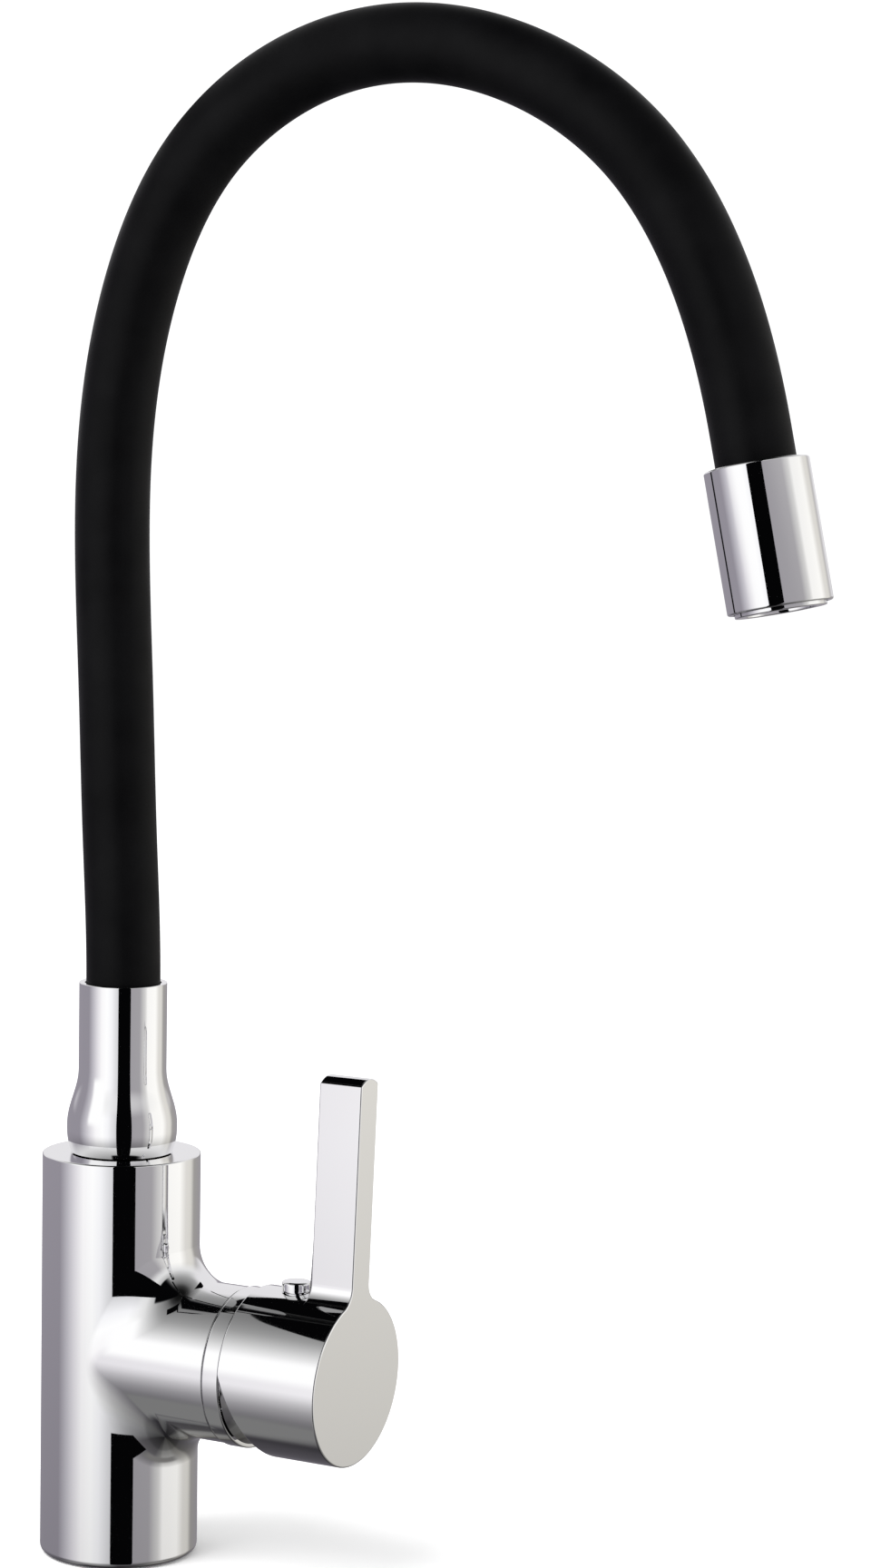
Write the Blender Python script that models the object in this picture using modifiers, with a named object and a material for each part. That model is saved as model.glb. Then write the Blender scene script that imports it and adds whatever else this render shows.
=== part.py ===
"""Flexible kitchen faucet: a single-lever mixer with a bendable hose for a spout.

Metres, +Z up. The origin is the middle of the base, where it stands on the worktop. +X points
towards the outlet and the handle, and the faucet is symmetric about the XZ plane.
"""

import math

import bmesh
import bpy
import numpy as np
from mathutils import Matrix, Vector

# Fits
SEAT_GAP = 0.0003
RUNNING_GAP = 0.0003
PIN_GAP = 0.00015
OVERRUN = 0.0020
MERGE_DISTANCE = 0.00001

# Mixer body and its branch for the cartridge
BODY_HEIGHT = 0.1180
FOOT_ROUNDING = 0.0020
BRANCH_INSET = 0.0005
BRANCH_HEIGHT = 0.0602
BRANCH_LENGTH = 0.0195
BRANCH_FILLET = 0.0090
BRANCH_SIDE_FILLET = 0.0250

# Underside: plate, gasket, inlets and fixing stud
FOOT_WALL = 0.0038
PLATE_THICKNESS = 0.0050
PLATE_LEDGE = 0.0009
PLATE_HOLE_CLEARANCE = 0.0004
CAVITY_HEIGHT = 0.0280
GASKET_INSET = 0.0011
GASKET_WIDTH = 0.0015
GASKET_THICKNESS = 0.0015
INLET_WALL = 0.0047
INLET_RADIUS = 0.0043
PLATE_HOLE_WALL = 0.0005
STUD_RADIUS = 0.0034
STUD_DEPTH = 0.0100

# Cartridge chamber in the branch
BRANCH_WALL = 0.0027
CHAMBER_FLOOR = 0.0030
NUT_SHOULDER = 0.0021
NUT_BORE_DEPTH = 0.0080

# Waterways between the inlets, the chamber and the spout, with the ports' shares of its bore
PORT_RADIUS = 0.0026
INLET_PORT_SIDE_SHARE = 0.42
INLET_PORT_DROP_SHARE = 0.26
OUTLET_PORT_RISE_SHARE = 0.59
RISER_WALL = 0.0015
RISER_RADIUS = 0.0045
SOCKET_RADIUS = 0.0115
SOCKET_DEPTH = 0.0220

# Cartridge, stacked along X from the chamber floor. It sets the size of the body and the handle.
CARTRIDGE_RADIUS = 0.0174
CARTRIDGE_BASE_THICKNESS = 0.0045
SEAL_WALL = 0.0011
SEAL_THICKNESS = 0.0020
CERAMIC_THICKNESS = 0.0035
DISC_CLEARANCE = 0.0008
MIXING_RIM = 0.0050
MIXING_RECESS_DEPTH = 0.0015
CARRIER_INSET = 0.0005
CARRIER_GRIP = 0.0015
HOUSING_WALL = 0.0041
HOUSING_NOSE_INSET = 0.0024
HOUSING_NOSE_WALL = 0.0035
HOUSING_NOSE_STANDOFF = 0.0005
ROTOR_FLANGE_REACH = 0.0040
NUT_RECESS = 0.0010
NUT_HEX_HEIGHT = 0.0040
NUT_HEX_WALL = 0.0012

# Lever pivot inside the cartridge
PIVOT_X = 0.0300
LIFT_ANGLE = math.radians(20.0)
PIN_RADIUS = 0.0015
PIN_END_GAP = 0.0005
STEM_WIDTH = 0.0080
STEM_THICKNESS = 0.0060
STEM_ARM = 0.0090
STEM_BALL_RADIUS = 0.0025
STEM_NECK_THICKNESS = 0.0030
STEM_NECK_LENGTH = 0.0045

# Trim ring with its dome
RING_LIP = 0.0004
RING_WIDTH = 0.0054
RING_WALL = 0.0020
RING_ROUNDING = 0.0005
DOME_WALL = 0.0014
DOME_MOUTH_RADIUS = 0.0136

# Handle
HANDLE_LIP = 0.0015
HANDLE_WALL = 0.0022
HANDLE_DEPTH = 0.0318
HANDLE_FACE_WALL = 0.0031
HANDLE_LEAN = math.radians(2.0)
HUB_RADIUS = 0.0076
HUB_WEB = 0.0042
LEVER_WIDTH = 0.0094
LEVER_STANDOFF = 0.0024
LEVER_REACH = 0.0871
LEVER_CROWN = 0.0018
LEVER_FILLET = 0.0060

# Set screw and the plug that hides it
SCREW_SETBACK = 0.0006
SCREW_RADIUS = 0.0024
SCREW_LENGTH = 0.0100
SCREW_KEY_ACROSS_FLATS = 0.0025
SCREW_KEY_DEPTH = 0.0030
BOSS_WALL = 0.0009
PLUG_STEM_RADIUS = 0.0034
PLUG_STEM_LENGTH = 0.0040
PLUG_LIP = 0.0005
PLUG_HEAD_HEIGHT = 0.0026
PLUG_HEAD_ROUNDING = 0.0009

# Hose: a silicone sleeve over a steel gooseneck liner
HOSE_RADIUS = 0.01075
LINER_RADIUS = 0.0063
LINER_BORE_RADIUS = 0.0040
FERRULE_WALL = 0.0020
FERRULE_LENGTH = 0.0100
HOSE_JOINT_SHARES = (0.15, 0.325, 0.50, 0.675, 0.85)
HOSE_BALL_MARGIN = 0.00325
HOSE_BALL_GAP = 0.0006
HOSE_POINT_SPACING = 0.0130

# Hose's middle line: how far the outlet's top reaches out, how high the arch rises above the bell,
# and its points, chosen by hand as shares of the two. It ends at the outlet.
SPOUT_REACH = 0.1967
SPOUT_RISE = 0.2652
HOSE_ROUTE_SHARES = (
    (-0.009, 0.166),
    (-0.018, 0.327),
    (-0.026, 0.472),
    (-0.020, 0.607),
    (0.026, 0.765),
    (0.117, 0.888),
    (0.309, 0.983),
    (0.461, 1.000),
    (0.666, 0.963),
    (0.823, 0.879),
    (0.924, 0.763),
    (0.985, 0.626),
    (1.000, 0.575),
)

# Spout base: slip ring, bell and nipple
SLIP_RING_INSET = 0.0031
SLIP_RING_THICKNESS = 0.0008
BELL_HEIGHT = 0.0498
BELL_WALL = 0.0017
BELL_FLARE = 0.00325
BELL_FOOT_INSET = 0.0012
BELL_BULGE_RISE = 0.0070
BELL_SHOULDER_RISE = 0.0082
BELL_WAIST_RISE = 0.0245
BELL_HOSE_DEPTH = 0.0270
NIPPLE_NECK_RADIUS = 0.0090
NIPPLE_BORE_RADIUS = 0.0045
TAIL_WALL = 0.0011
O_RING_SECTION = 0.0009
O_RING_DEPTH = 0.0060
CLIP_RISE = 0.0043
CLIP_THICKNESS = 0.0011
CLIP_BITE = 0.0006
CLIP_GRIP = 0.0008
CLIP_SPLIT = 0.0024

# Outlet
OUTLET_LEAN = math.radians(12.0)
OUTLET_LEDGE = 0.00295
OUTLET_WALL = 0.0015
OUTLET_LENGTH = 0.0380
OUTLET_MOUTH_DEPTH = 0.0080
OUTLET_ROUNDING = 0.0006
ADAPTOR_THICKNESS = 0.0064
WASHER_THICKNESS = 0.0012
WASHER_BORE_RADIUS = 0.0080
AERATOR_PROTRUSION = 0.0010
AERATOR_WALL = 0.0018
AERATOR_LIP_WIDTH = 0.0011
AERATOR_LIP_HEIGHT = 0.0014
INSERT_HEADROOM = 0.0012
INSERT_HOLE_RADIUS = 0.0009
INSERT_RIM = 0.0027
INSERT_RINGS = 2

# Facets round a turn, and steps in a round stretch
BODY_SIDES = 32
HANDLE_SIDES = 32
SPOUT_SIDES = 24
INNER_SIDES = 16
SMALL_SIDES = 12
HOLE_SIDES = 6
FILLET_STEPS = 4
ARC_STEPS = 3
SHOULDER_STEPS = 5
SPHERE_STEPS = 9
CURVE_STEPS = 24
SLEEVE_RESOLUTION = 6
LINER_RESOLUTION = 2
LINER_BORE_RESOLUTION = 3

# Finishes: colour, roughness, metallic
CHROME = ((0.78, 0.78, 0.79), 0.06, 1.0)
BRASS = ((0.72, 0.56, 0.28), 0.30, 1.0)
STEEL = ((0.56, 0.57, 0.58), 0.30, 1.0)
SILICONE = ((0.012, 0.012, 0.013), 0.42, 0.0)
RUBBER = ((0.02, 0.02, 0.02), 0.65, 0.0)
CERAMIC = ((0.85, 0.84, 0.80), 0.20, 0.0)
GREY_PLASTIC = ((0.55, 0.57, 0.60), 0.45, 0.0)
WHITE_PLASTIC = ((0.82, 0.83, 0.82), 0.40, 0.0)

# Turns that lay a piece's own Z along an axis
ALONG_Z = (0.0, 0.0, 0.0)
ALONG_Y = (math.pi / 2, 0.0, 0.0)
ALONG_X = (0.0, math.pi / 2, 0.0)
ALONG_OUTLET = (0.0, -OUTLET_LEAN, 0.0)

# Places that the sizes above lead to
CHAMBER_RADIUS = CARTRIDGE_RADIUS + SEAT_GAP
NUT_BORE_RADIUS = CHAMBER_RADIUS + NUT_SHOULDER
BRANCH_RADIUS = NUT_BORE_RADIUS + BRANCH_WALL
BODY_RADIUS = BRANCH_RADIUS + BRANCH_INSET
BRANCH_REACH = BODY_RADIUS + BRANCH_LENGTH
RING_REAR = BRANCH_REACH + SEAT_GAP
RING_FRONT = RING_REAR + RING_WIDTH
RING_RADIUS = BRANCH_RADIUS + RING_LIP
HANDLE_REAR = RING_FRONT + RUNNING_GAP
HANDLE_FACE = HANDLE_REAR + HANDLE_DEPTH
HANDLE_RADIUS = BRANCH_RADIUS + HANDLE_LIP
HANDLE_BORE = HANDLE_RADIUS - HANDLE_WALL
DOME_RADIUS = math.hypot(HANDLE_REAR - PIVOT_X, HANDLE_BORE) - RUNNING_GAP
DOME_MOUTH_X = PIVOT_X + math.sqrt(DOME_RADIUS**2 - DOME_MOUTH_RADIUS**2)
PLUG_HOLE_RADIUS = PLUG_STEM_RADIUS + SEAT_GAP
BOSS_RADIUS = PLUG_HOLE_RADIUS + BOSS_WALL
SCREW_X = DOME_MOUTH_X + SCREW_SETBACK + BOSS_RADIUS
PLUG_HEAD_RADIUS = PLUG_HOLE_RADIUS + PLUG_LIP
LEVER_DEPTH = HANDLE_FACE - SCREW_X - PLUG_HEAD_RADIUS - LEVER_STANDOFF
PLATE_RADIUS = BODY_RADIUS - FOOT_WALL
CAVITY_RADIUS = PLATE_RADIUS - PLATE_LEDGE
GASKET_RADIUS = PLATE_RADIUS - GASKET_INSET
GASKET_GROOVE_INNER = GASKET_RADIUS - GASKET_WIDTH - SEAT_GAP
PLATE_HOLE_REACH = GASKET_GROOVE_INNER - PLATE_HOLE_WALL - PLATE_HOLE_CLEARANCE
STUD_X = PLATE_HOLE_REACH - STUD_RADIUS
CARTRIDGE_BORE_RADIUS = CARTRIDGE_RADIUS - HOUSING_WALL
HOUSING_NOSE_RADIUS = CARTRIDGE_RADIUS - HOUSING_NOSE_INSET
ROTOR_NECK_RADIUS = HOUSING_NOSE_RADIUS - HOUSING_NOSE_WALL - RUNNING_GAP
NUT_HEX_ACROSS_FLATS = 2 * (HOUSING_NOSE_RADIUS + SEAT_GAP + NUT_HEX_WALL)
NUT_REAR = BRANCH_REACH - NUT_BORE_DEPTH + SEAT_GAP
NUT_HEX_FRONT = BRANCH_REACH - NUT_RECESS + NUT_HEX_HEIGHT
HOUSING_SHOULDER = NUT_REAR - SEAT_GAP
HOUSING_NOSE_END = NUT_HEX_FRONT + HOUSING_NOSE_STANDOFF
HOUSING_STEP = PIVOT_X + ROTOR_FLANGE_REACH
CARTRIDGE_REAR = CHAMBER_FLOOR + SEAT_GAP
FIXED_DISC_REAR = CARTRIDGE_REAR + CARTRIDGE_BASE_THICKNESS + SEAT_GAP
MOVING_DISC_REAR = FIXED_DISC_REAR + CERAMIC_THICKNESS + RUNNING_GAP
CARRIER_REAR = MOVING_DISC_REAR + CERAMIC_THICKNESS + SEAT_GAP
BALL_X = PIVOT_X - STEM_ARM
CARRIER_FRONT = BALL_X + CARRIER_GRIP
DISC_OFFSET = STEM_ARM * math.sin(LIFT_ANGLE) / 2
MOVING_DISC_RADIUS = CARTRIDGE_BORE_RADIUS - DISC_OFFSET - DISC_CLEARANCE
MIXING_RECESS_RADIUS = MOVING_DISC_RADIUS - MIXING_RIM
STEM_FRONT = HANDLE_FACE - HANDLE_FACE_WALL - HUB_WEB - SEAT_GAP
INLET_X = CHAMBER_FLOOR - INLET_WALL - INLET_RADIUS
INLET_Y = math.sqrt((PLATE_HOLE_REACH - INLET_RADIUS) ** 2 - INLET_X**2)
RISER_X = CHAMBER_FLOOR - RISER_WALL - RISER_RADIUS
INLET_PORT_Y = CARTRIDGE_BORE_RADIUS * INLET_PORT_SIDE_SHARE
INLET_PORT_Z = BRANCH_HEIGHT - CARTRIDGE_BORE_RADIUS * INLET_PORT_DROP_SHARE
OUTLET_PORT_Z = BRANCH_HEIGHT + CARTRIDGE_BORE_RADIUS * OUTLET_PORT_RISE_SHARE
PORTS = (
    ("hot", INLET_PORT_Y, INLET_PORT_Z),
    ("cold", -INLET_PORT_Y, INLET_PORT_Z),
    ("outlet", 0.0, OUTLET_PORT_Z),
)
SOCKET_FLOOR = BODY_HEIGHT - SOCKET_DEPTH
BARREL_RADIUS = SOCKET_RADIUS - RUNNING_GAP
O_RING_RADIUS = BARREL_RADIUS - O_RING_SECTION
CLIP_HEIGHT = SOCKET_FLOOR + CLIP_RISE
O_RING_TOP = BODY_HEIGHT - O_RING_DEPTH
O_RING_HEIGHTS = (O_RING_TOP, (O_RING_TOP + CLIP_HEIGHT) / 2)
BELL_FOOT = BODY_HEIGHT + RUNNING_GAP
BELL_RECESS = BODY_HEIGHT + SEAT_GAP + SLIP_RING_THICKNESS + RUNNING_GAP
BELL_TOP = BODY_HEIGHT + BELL_HEIGHT
BELL_SLEEVE_RADIUS = HOSE_RADIUS + SEAT_GAP + BELL_WALL
BELL_BULGE_RADIUS = BELL_SLEEVE_RADIUS + BELL_FLARE
SLIP_RING_RADIUS = BELL_BULGE_RADIUS - SLIP_RING_INSET
HOSE_SEAT = BELL_TOP - BELL_HOSE_DEPTH
SLEEVE_BORE_RADIUS = LINER_RADIUS + SEAT_GAP
FERRULE_RADIUS = LINER_RADIUS + SEAT_GAP + FERRULE_WALL
TAIL_RADIUS = LINER_BORE_RADIUS - SEAT_GAP
TAIL_BORE_RADIUS = TAIL_RADIUS - TAIL_WALL
HOSE_BALL_RADIUS = HOSE_RADIUS + HOSE_BALL_MARGIN
HOSE_ROUTE = [(x * SPOUT_REACH, BELL_TOP + z * SPOUT_RISE) for x, z in HOSE_ROUTE_SHARES]
OUTLET_TOP = Vector((HOSE_ROUTE[-1][0], 0.0, HOSE_ROUTE[-1][1]))
OUTLET_DOWN = Vector((math.sin(OUTLET_LEAN), 0.0, -math.cos(OUTLET_LEAN)))
OUTLET_RADIUS = HOSE_RADIUS + SEAT_GAP + OUTLET_LEDGE
OUTLET_BORE_RADIUS = OUTLET_RADIUS - OUTLET_WALL
LINER_END_DEPTH = OUTLET_MOUTH_DEPTH + FERRULE_LENGTH
ADAPTOR_DEPTH = LINER_END_DEPTH + SEAT_GAP
WASHER_DEPTH = ADAPTOR_DEPTH + ADAPTOR_THICKNESS + SEAT_GAP
AERATOR_DEPTH = WASHER_DEPTH + WASHER_THICKNESS + SEAT_GAP
AERATOR_END_DEPTH = OUTLET_LENGTH + AERATOR_PROTRUSION
AERATOR_RADIUS = OUTLET_BORE_RADIUS - SEAT_GAP
INSERT_RADIUS = AERATOR_RADIUS - AERATOR_WALL - SEAT_GAP
INSERT_END_DEPTH = AERATOR_END_DEPTH - AERATOR_LIP_HEIGHT - SEAT_GAP


def clear_scene():
    for obj in list(bpy.data.objects):
        bpy.data.objects.remove(obj, do_unlink=True)


def new_group(name):
    group = bpy.data.collections.new(name)
    bpy.context.scene.collection.children.link(group)
    return group


clear_scene()
PARTS = new_group("flexible_faucet")
CUTTERS = new_group("cutters")


def add_object(name, mesh, group):
    obj = bpy.data.objects.new(name, mesh)
    group.objects.link(obj)
    if group is CUTTERS:
        obj.hide_render = True
        obj.display_type = "WIRE"
    return obj


def place(obj, location, rotation=ALONG_Z):
    obj.location = location
    obj.rotation_euler = rotation
    return obj


def finish(obj, look):
    colour, roughness, metallic = look
    material = bpy.data.materials.new(obj.name)
    material.use_nodes = True
    shader = material.node_tree.nodes["Principled BSDF"]
    shader.inputs["Base Color"].default_value = (*colour, 1.0)
    shader.inputs["Roughness"].default_value = roughness
    shader.inputs["Metallic"].default_value = metallic
    obj.data.materials.append(material)
    return obj


def arc(centre, radius, start, end, steps=ARC_STEPS):
    """Points of a round stretch, its angles counted from the first coordinate's axis."""
    angles = [start + (end - start) * i / steps for i in range(steps + 1)]
    return [
        (centre[0] + radius * math.cos(angle), centre[1] + radius * math.sin(angle))
        for angle in angles
    ]


def turned(name, profile, sides, group=None):
    """A profile of (radius, height) points, down its outer side, turned about its own Z axis."""
    mesh = bpy.data.meshes.new(name)
    edges = [(i, i + 1) for i in range(len(profile) - 1)]
    if profile[0][0] > MERGE_DISTANCE:
        edges.append((len(profile) - 1, 0))
    mesh.from_pydata([(radius, 0.0, height) for radius, height in profile], edges, [])
    obj = add_object(name, mesh, group or PARTS)
    screw = obj.modifiers.new("Turn", "SCREW")
    screw.steps = sides
    screw.render_steps = sides
    screw.use_merge_vertices = True
    screw.merge_threshold = MERGE_DISTANCE
    screw.use_smooth_shade = True
    return obj


def ring_profile(inner, outer, low, high):
    return [(outer, high), (outer, low), (inner, low), (inner, high)]


def rod_profile(radius, low, high):
    return [(0.0, high), (radius, high), (radius, low), (0.0, low)]


def ball_profile(radius):
    return arc((0.0, 0.0), radius, math.pi / 2, -math.pi / 2, SPHERE_STEPS)


def mesh_object(name, bm, group):
    mesh = bpy.data.meshes.new(name)
    bm.to_mesh(mesh)
    bm.free()
    return add_object(name, mesh, group)


def block(name, low, high, group=None):
    """A box between two corners."""
    bm = bmesh.new()
    bmesh.ops.create_cube(bm, size=1.0)
    bmesh.ops.scale(bm, vec=[b - a for a, b in zip(low, high)], verts=bm.verts)
    bmesh.ops.translate(bm, vec=[(a + b) / 2 for a, b in zip(low, high)], verts=bm.verts)
    return mesh_object(name, bm, group or PARTS)


def rods(name, places, radius, sides, low, high):
    """One cutter of straight rods along its own Z, one at each (x, y) place."""
    bm = bmesh.new()
    for x, y in places:
        bmesh.ops.create_cone(
            bm,
            cap_ends=True,
            segments=sides,
            radius1=radius,
            radius2=radius,
            depth=high - low,
            matrix=Matrix.Translation((x, y, (low + high) / 2)),
        )
    return mesh_object(name, bm, CUTTERS)


def hex_rod(name, across_flats, low, high):
    return rods(name, [(0.0, 0.0)], across_flats / 2 / math.cos(math.pi / 6), 6, low, high)


def mesh_of_curve(name, curve, group):
    """Makes a curve a closed mesh, which can be cut."""
    source = bpy.data.objects.new(name + "_curve", curve)
    bpy.context.scene.collection.objects.link(source)
    bpy.context.view_layer.update()
    graph = bpy.context.evaluated_depsgraph_get()
    mesh = bpy.data.meshes.new_from_object(source.evaluated_get(graph))
    matrix = source.matrix_world.copy()
    bpy.data.objects.remove(source, do_unlink=True)
    bm = bmesh.new()
    bm.from_mesh(mesh)
    bmesh.ops.remove_doubles(bm, verts=bm.verts, dist=MERGE_DISTANCE)
    bmesh.ops.recalc_face_normals(bm, faces=bm.faces)
    bm.to_mesh(mesh)
    bm.free()
    obj = add_object(name, mesh, group)
    obj.matrix_world = matrix
    return obj


def flat_outline(name, outline, thickness, group):
    """A closed outline in its own XY plane, thickened half each way."""
    curve = bpy.data.curves.new(name, "CURVE")
    curve.dimensions = "2D"
    curve.fill_mode = "BOTH"
    curve.extrude = thickness / 2
    spline = curve.splines.new("POLY")
    spline.points.add(len(outline) - 1)
    for point, (x, y) in zip(spline.points, outline):
        point.co = (x, y, 0.0, 1.0)
    spline.use_cyclic_u = True
    return mesh_of_curve(name, curve, group)


def bar_along(name, points, radius, resolution, group):
    """A solid bar of round section along a list of points."""
    curve = bpy.data.curves.new(name, "CURVE")
    curve.dimensions = "3D"
    curve.bevel_depth = radius
    curve.bevel_resolution = resolution
    curve.use_fill_caps = True
    spline = curve.splines.new("POLY")
    spline.points.add(len(points) - 1)
    for control, point in zip(spline.points, points):
        control.co = (*point, 1.0)
    return mesh_of_curve(name, curve, group)


def boolean(obj, operation, others):
    for other in others:
        modifier = obj.modifiers.new(other.name, "BOOLEAN")
        modifier.operation = operation
        modifier.object = other
        modifier.solver = "EXACT"
    return obj


def cut(obj, *cutters):
    return boolean(obj, "DIFFERENCE", cutters)


def join(obj, *others):
    return boolean(obj, "UNION", others)


def joint_empty(name, location, parent=None):
    empty = bpy.data.objects.new(name, None)
    PARTS.objects.link(empty)
    empty.location = location
    if parent:
        carry(parent, empty)
    return empty


def carry(empty, *pieces):
    """Parents the pieces to the empty and leaves them where they are."""
    for piece in pieces:
        piece.parent = empty
        piece.matrix_parent_inverse = Matrix.Translation(empty.location).inverted()


def loop_of(vectors, verts):
    first = len(verts)
    verts.extend(tuple(vector) for vector in vectors)
    return list(range(first, len(verts)))


def bridge(faces, row, next_row):
    for i, corner in enumerate(row):
        j = (i + 1) % len(row)
        faces.append((corner, row[j], next_row[j], next_row[i]))


def fillet_loops():
    """Loops from the body to the branch: a ball that grows towards the sides rolls in the crease."""
    loops = [[] for _ in range(FILLET_STEPS + 2)]
    for k in range(BODY_SIDES):
        turn = 2 * math.pi * k / BODY_SIDES
        fillet = BRANCH_FILLET + (BRANCH_SIDE_FILLET - BRANCH_FILLET) * math.cos(turn) ** 2
        body_ball = BODY_RADIUS + fillet
        branch_ball = BRANCH_RADIUS + fillet
        across = branch_ball * math.cos(turn)
        height = BRANCH_HEIGHT + branch_ball * math.sin(turn)
        ball = Vector((math.sqrt(body_ball**2 - across**2), across, height))
        share = BODY_RADIUS / body_ball
        on_body = Vector((ball.x * share, ball.y * share, height))
        rim = Vector((0.0, math.cos(turn), math.sin(turn))) * BRANCH_RADIUS
        on_branch = Vector((ball.x, rim.y, BRANCH_HEIGHT + rim.z))
        start = (on_body - ball).normalized()
        end = (on_branch - ball).normalized()
        for step in range(FILLET_STEPS + 1):
            direction = start.slerp(end, step / FILLET_STEPS)
            loops[step].append(ball + direction * fillet)
        loops[-1].append(Vector((BRANCH_REACH, rim.y, BRANCH_HEIGHT + rim.z)))
    return loops


def body_skin():
    """Body and branch as one closed skin, with the fillet lofted between them."""
    verts = []
    faces = []
    loops = [loop_of(loop, verts) for loop in fillet_loops()]
    for loop, next_loop in zip(loops, loops[1:]):
        bridge(faces, loop, next_loop)
    faces.append(tuple(loops[-1]))

    half = BODY_SIDES // 2
    side = math.atan2(verts[0][1], verts[0][0])
    angles = [side + (2 * math.pi - 2 * side) * i / half for i in range(1, half)]
    back = loop_of(
        [
            (BODY_RADIUS * math.cos(angle), BODY_RADIUS * math.sin(angle), BRANCH_HEIGHT)
            for angle in reversed(angles)
        ],
        verts,
    )
    crease = loops[0]
    upper = [*crease[: half + 1], *back]
    lower = [crease[0], *reversed(crease[half:]), *back]

    def level(loop, height, inset=0.0):
        share = (BODY_RADIUS - inset) / BODY_RADIUS
        return loop_of([(verts[i][0] * share, verts[i][1] * share, height) for i in loop], verts)

    top = level(upper, BODY_HEIGHT)
    bridge(faces, upper, top)
    faces.append(tuple(top))
    row = lower
    foot = (FOOT_ROUNDING, FOOT_ROUNDING)
    for inset, height in arc(foot, FOOT_ROUNDING, math.pi, 1.5 * math.pi, 2):
        next_row = level(lower, height, inset)
        bridge(faces, row, next_row)
        row = next_row
    faces.append(tuple(row))

    mesh = bpy.data.meshes.new("faucet_body")
    mesh.from_pydata(verts, [], faces)
    bm = bmesh.new()
    bm.from_mesh(mesh)
    bmesh.ops.recalc_face_normals(bm, faces=bm.faces)
    bm.to_mesh(mesh)
    bm.free()
    mesh.shade_smooth()
    return add_object("faucet_body", mesh, PARTS)


def cutter(name, profile, location=(0.0, 0.0, 0.0), rotation=ALONG_Z, sides=INNER_SIDES):
    return place(turned(name, profile, sides, CUTTERS), location, rotation)


def at_branch(y=0.0, z=BRANCH_HEIGHT):
    return (0.0, y, z)


def clip_groove_profile(radius, groove_radius, low, high):
    """A rod with the snap ring's groove round it."""
    reach = CLIP_THICKNESS / 2 + SEAT_GAP
    return [
        (0.0, high),
        (radius, high),
        (radius, CLIP_HEIGHT + reach),
        (groove_radius, CLIP_HEIGHT + reach),
        (groove_radius, CLIP_HEIGHT - reach),
        (radius, CLIP_HEIGHT - reach),
        (radius, low),
        (0.0, low),
    ]


def faucet_body():
    nut_shoulder = BRANCH_REACH - NUT_BORE_DEPTH
    plate_seat = PLATE_THICKNESS + SEAT_GAP
    chamber = [
        (0.0, BRANCH_REACH + OVERRUN),
        (NUT_BORE_RADIUS, BRANCH_REACH + OVERRUN),
        (NUT_BORE_RADIUS, nut_shoulder),
        (CHAMBER_RADIUS, nut_shoulder),
        (CHAMBER_RADIUS, CHAMBER_FLOOR),
        (0.0, CHAMBER_FLOOR),
    ]
    cavity = [
        (0.0, CAVITY_HEIGHT),
        (CAVITY_RADIUS, CAVITY_HEIGHT),
        (CAVITY_RADIUS, plate_seat),
        (PLATE_RADIUS + SEAT_GAP, plate_seat),
        (PLATE_RADIUS + SEAT_GAP, -OVERRUN),
        (0.0, -OVERRUN),
    ]
    groove = SOCKET_RADIUS + CLIP_BITE + SEAT_GAP
    socket = clip_groove_profile(SOCKET_RADIUS, groove, SOCKET_FLOOR, BODY_HEIGHT + OVERRUN)
    riser = rod_profile(RISER_RADIUS, OUTLET_PORT_Z - PORT_RADIUS, SOCKET_FLOOR + OVERRUN)
    stud = rod_profile(STUD_RADIUS, CAVITY_HEIGHT - OVERRUN, CAVITY_HEIGHT + STUD_DEPTH)
    inlet_top = INLET_PORT_Z + PORT_RADIUS + SEAT_GAP
    inlet = rod_profile(INLET_RADIUS, CAVITY_HEIGHT - OVERRUN, inlet_top)
    cutters = [
        cutter("chamber_cut", chamber, at_branch(), ALONG_X, BODY_SIDES),
        cutter("cavity_cut", cavity, sides=BODY_SIDES),
        cutter("socket_cut", socket, sides=SPOUT_SIDES),
        cutter("riser_cut", riser, (RISER_X, 0.0, 0.0)),
        cutter("stud_cut", stud, (STUD_X, 0.0, 0.0), sides=SMALL_SIDES),
    ]
    for side in (1, -1):
        cutters.append(cutter("inlet_cut", inlet, (INLET_X, side * INLET_Y, 0.0)))
    for name, y, z in PORTS:
        start = RISER_X if name == "outlet" else INLET_X
        port = rod_profile(PORT_RADIUS, start, CHAMBER_FLOOR + OVERRUN)
        cutters.append(cutter("port_cut", port, at_branch(y, z), ALONG_X, SMALL_SIDES))
    return finish(cut(body_skin(), *cutters), CHROME)


def base_plate():
    groove_depth = GASKET_THICKNESS + SEAT_GAP
    groove_outer = GASKET_RADIUS + SEAT_GAP
    profile = [
        (0.0, PLATE_THICKNESS),
        (PLATE_RADIUS, PLATE_THICKNESS),
        (PLATE_RADIUS, 0.0),
        (groove_outer, 0.0),
        (groove_outer, groove_depth),
        (GASKET_GROOVE_INNER, groove_depth),
        (GASKET_GROOVE_INNER, 0.0),
        (0.0, 0.0),
    ]
    through = (-OVERRUN, PLATE_THICKNESS + OVERRUN)
    holes = [(STUD_X, 0.0, STUD_RADIUS), (INLET_X, INLET_Y, INLET_RADIUS)]
    holes.append((INLET_X, -INLET_Y, INLET_RADIUS))
    cutters = [
        cutter("plate_cut", rod_profile(radius + PLATE_HOLE_CLEARANCE, *through), (x, y, 0.0))
        for x, y, radius in holes
    ]
    return finish(cut(turned("base_plate", profile, BODY_SIDES), *cutters), GREY_PLASTIC)


def base_gasket():
    profile = ring_profile(GASKET_RADIUS - GASKET_WIDTH, GASKET_RADIUS, 0.0, GASKET_THICKNESS)
    return finish(turned("base_gasket", profile, BODY_SIDES), RUBBER)


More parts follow.
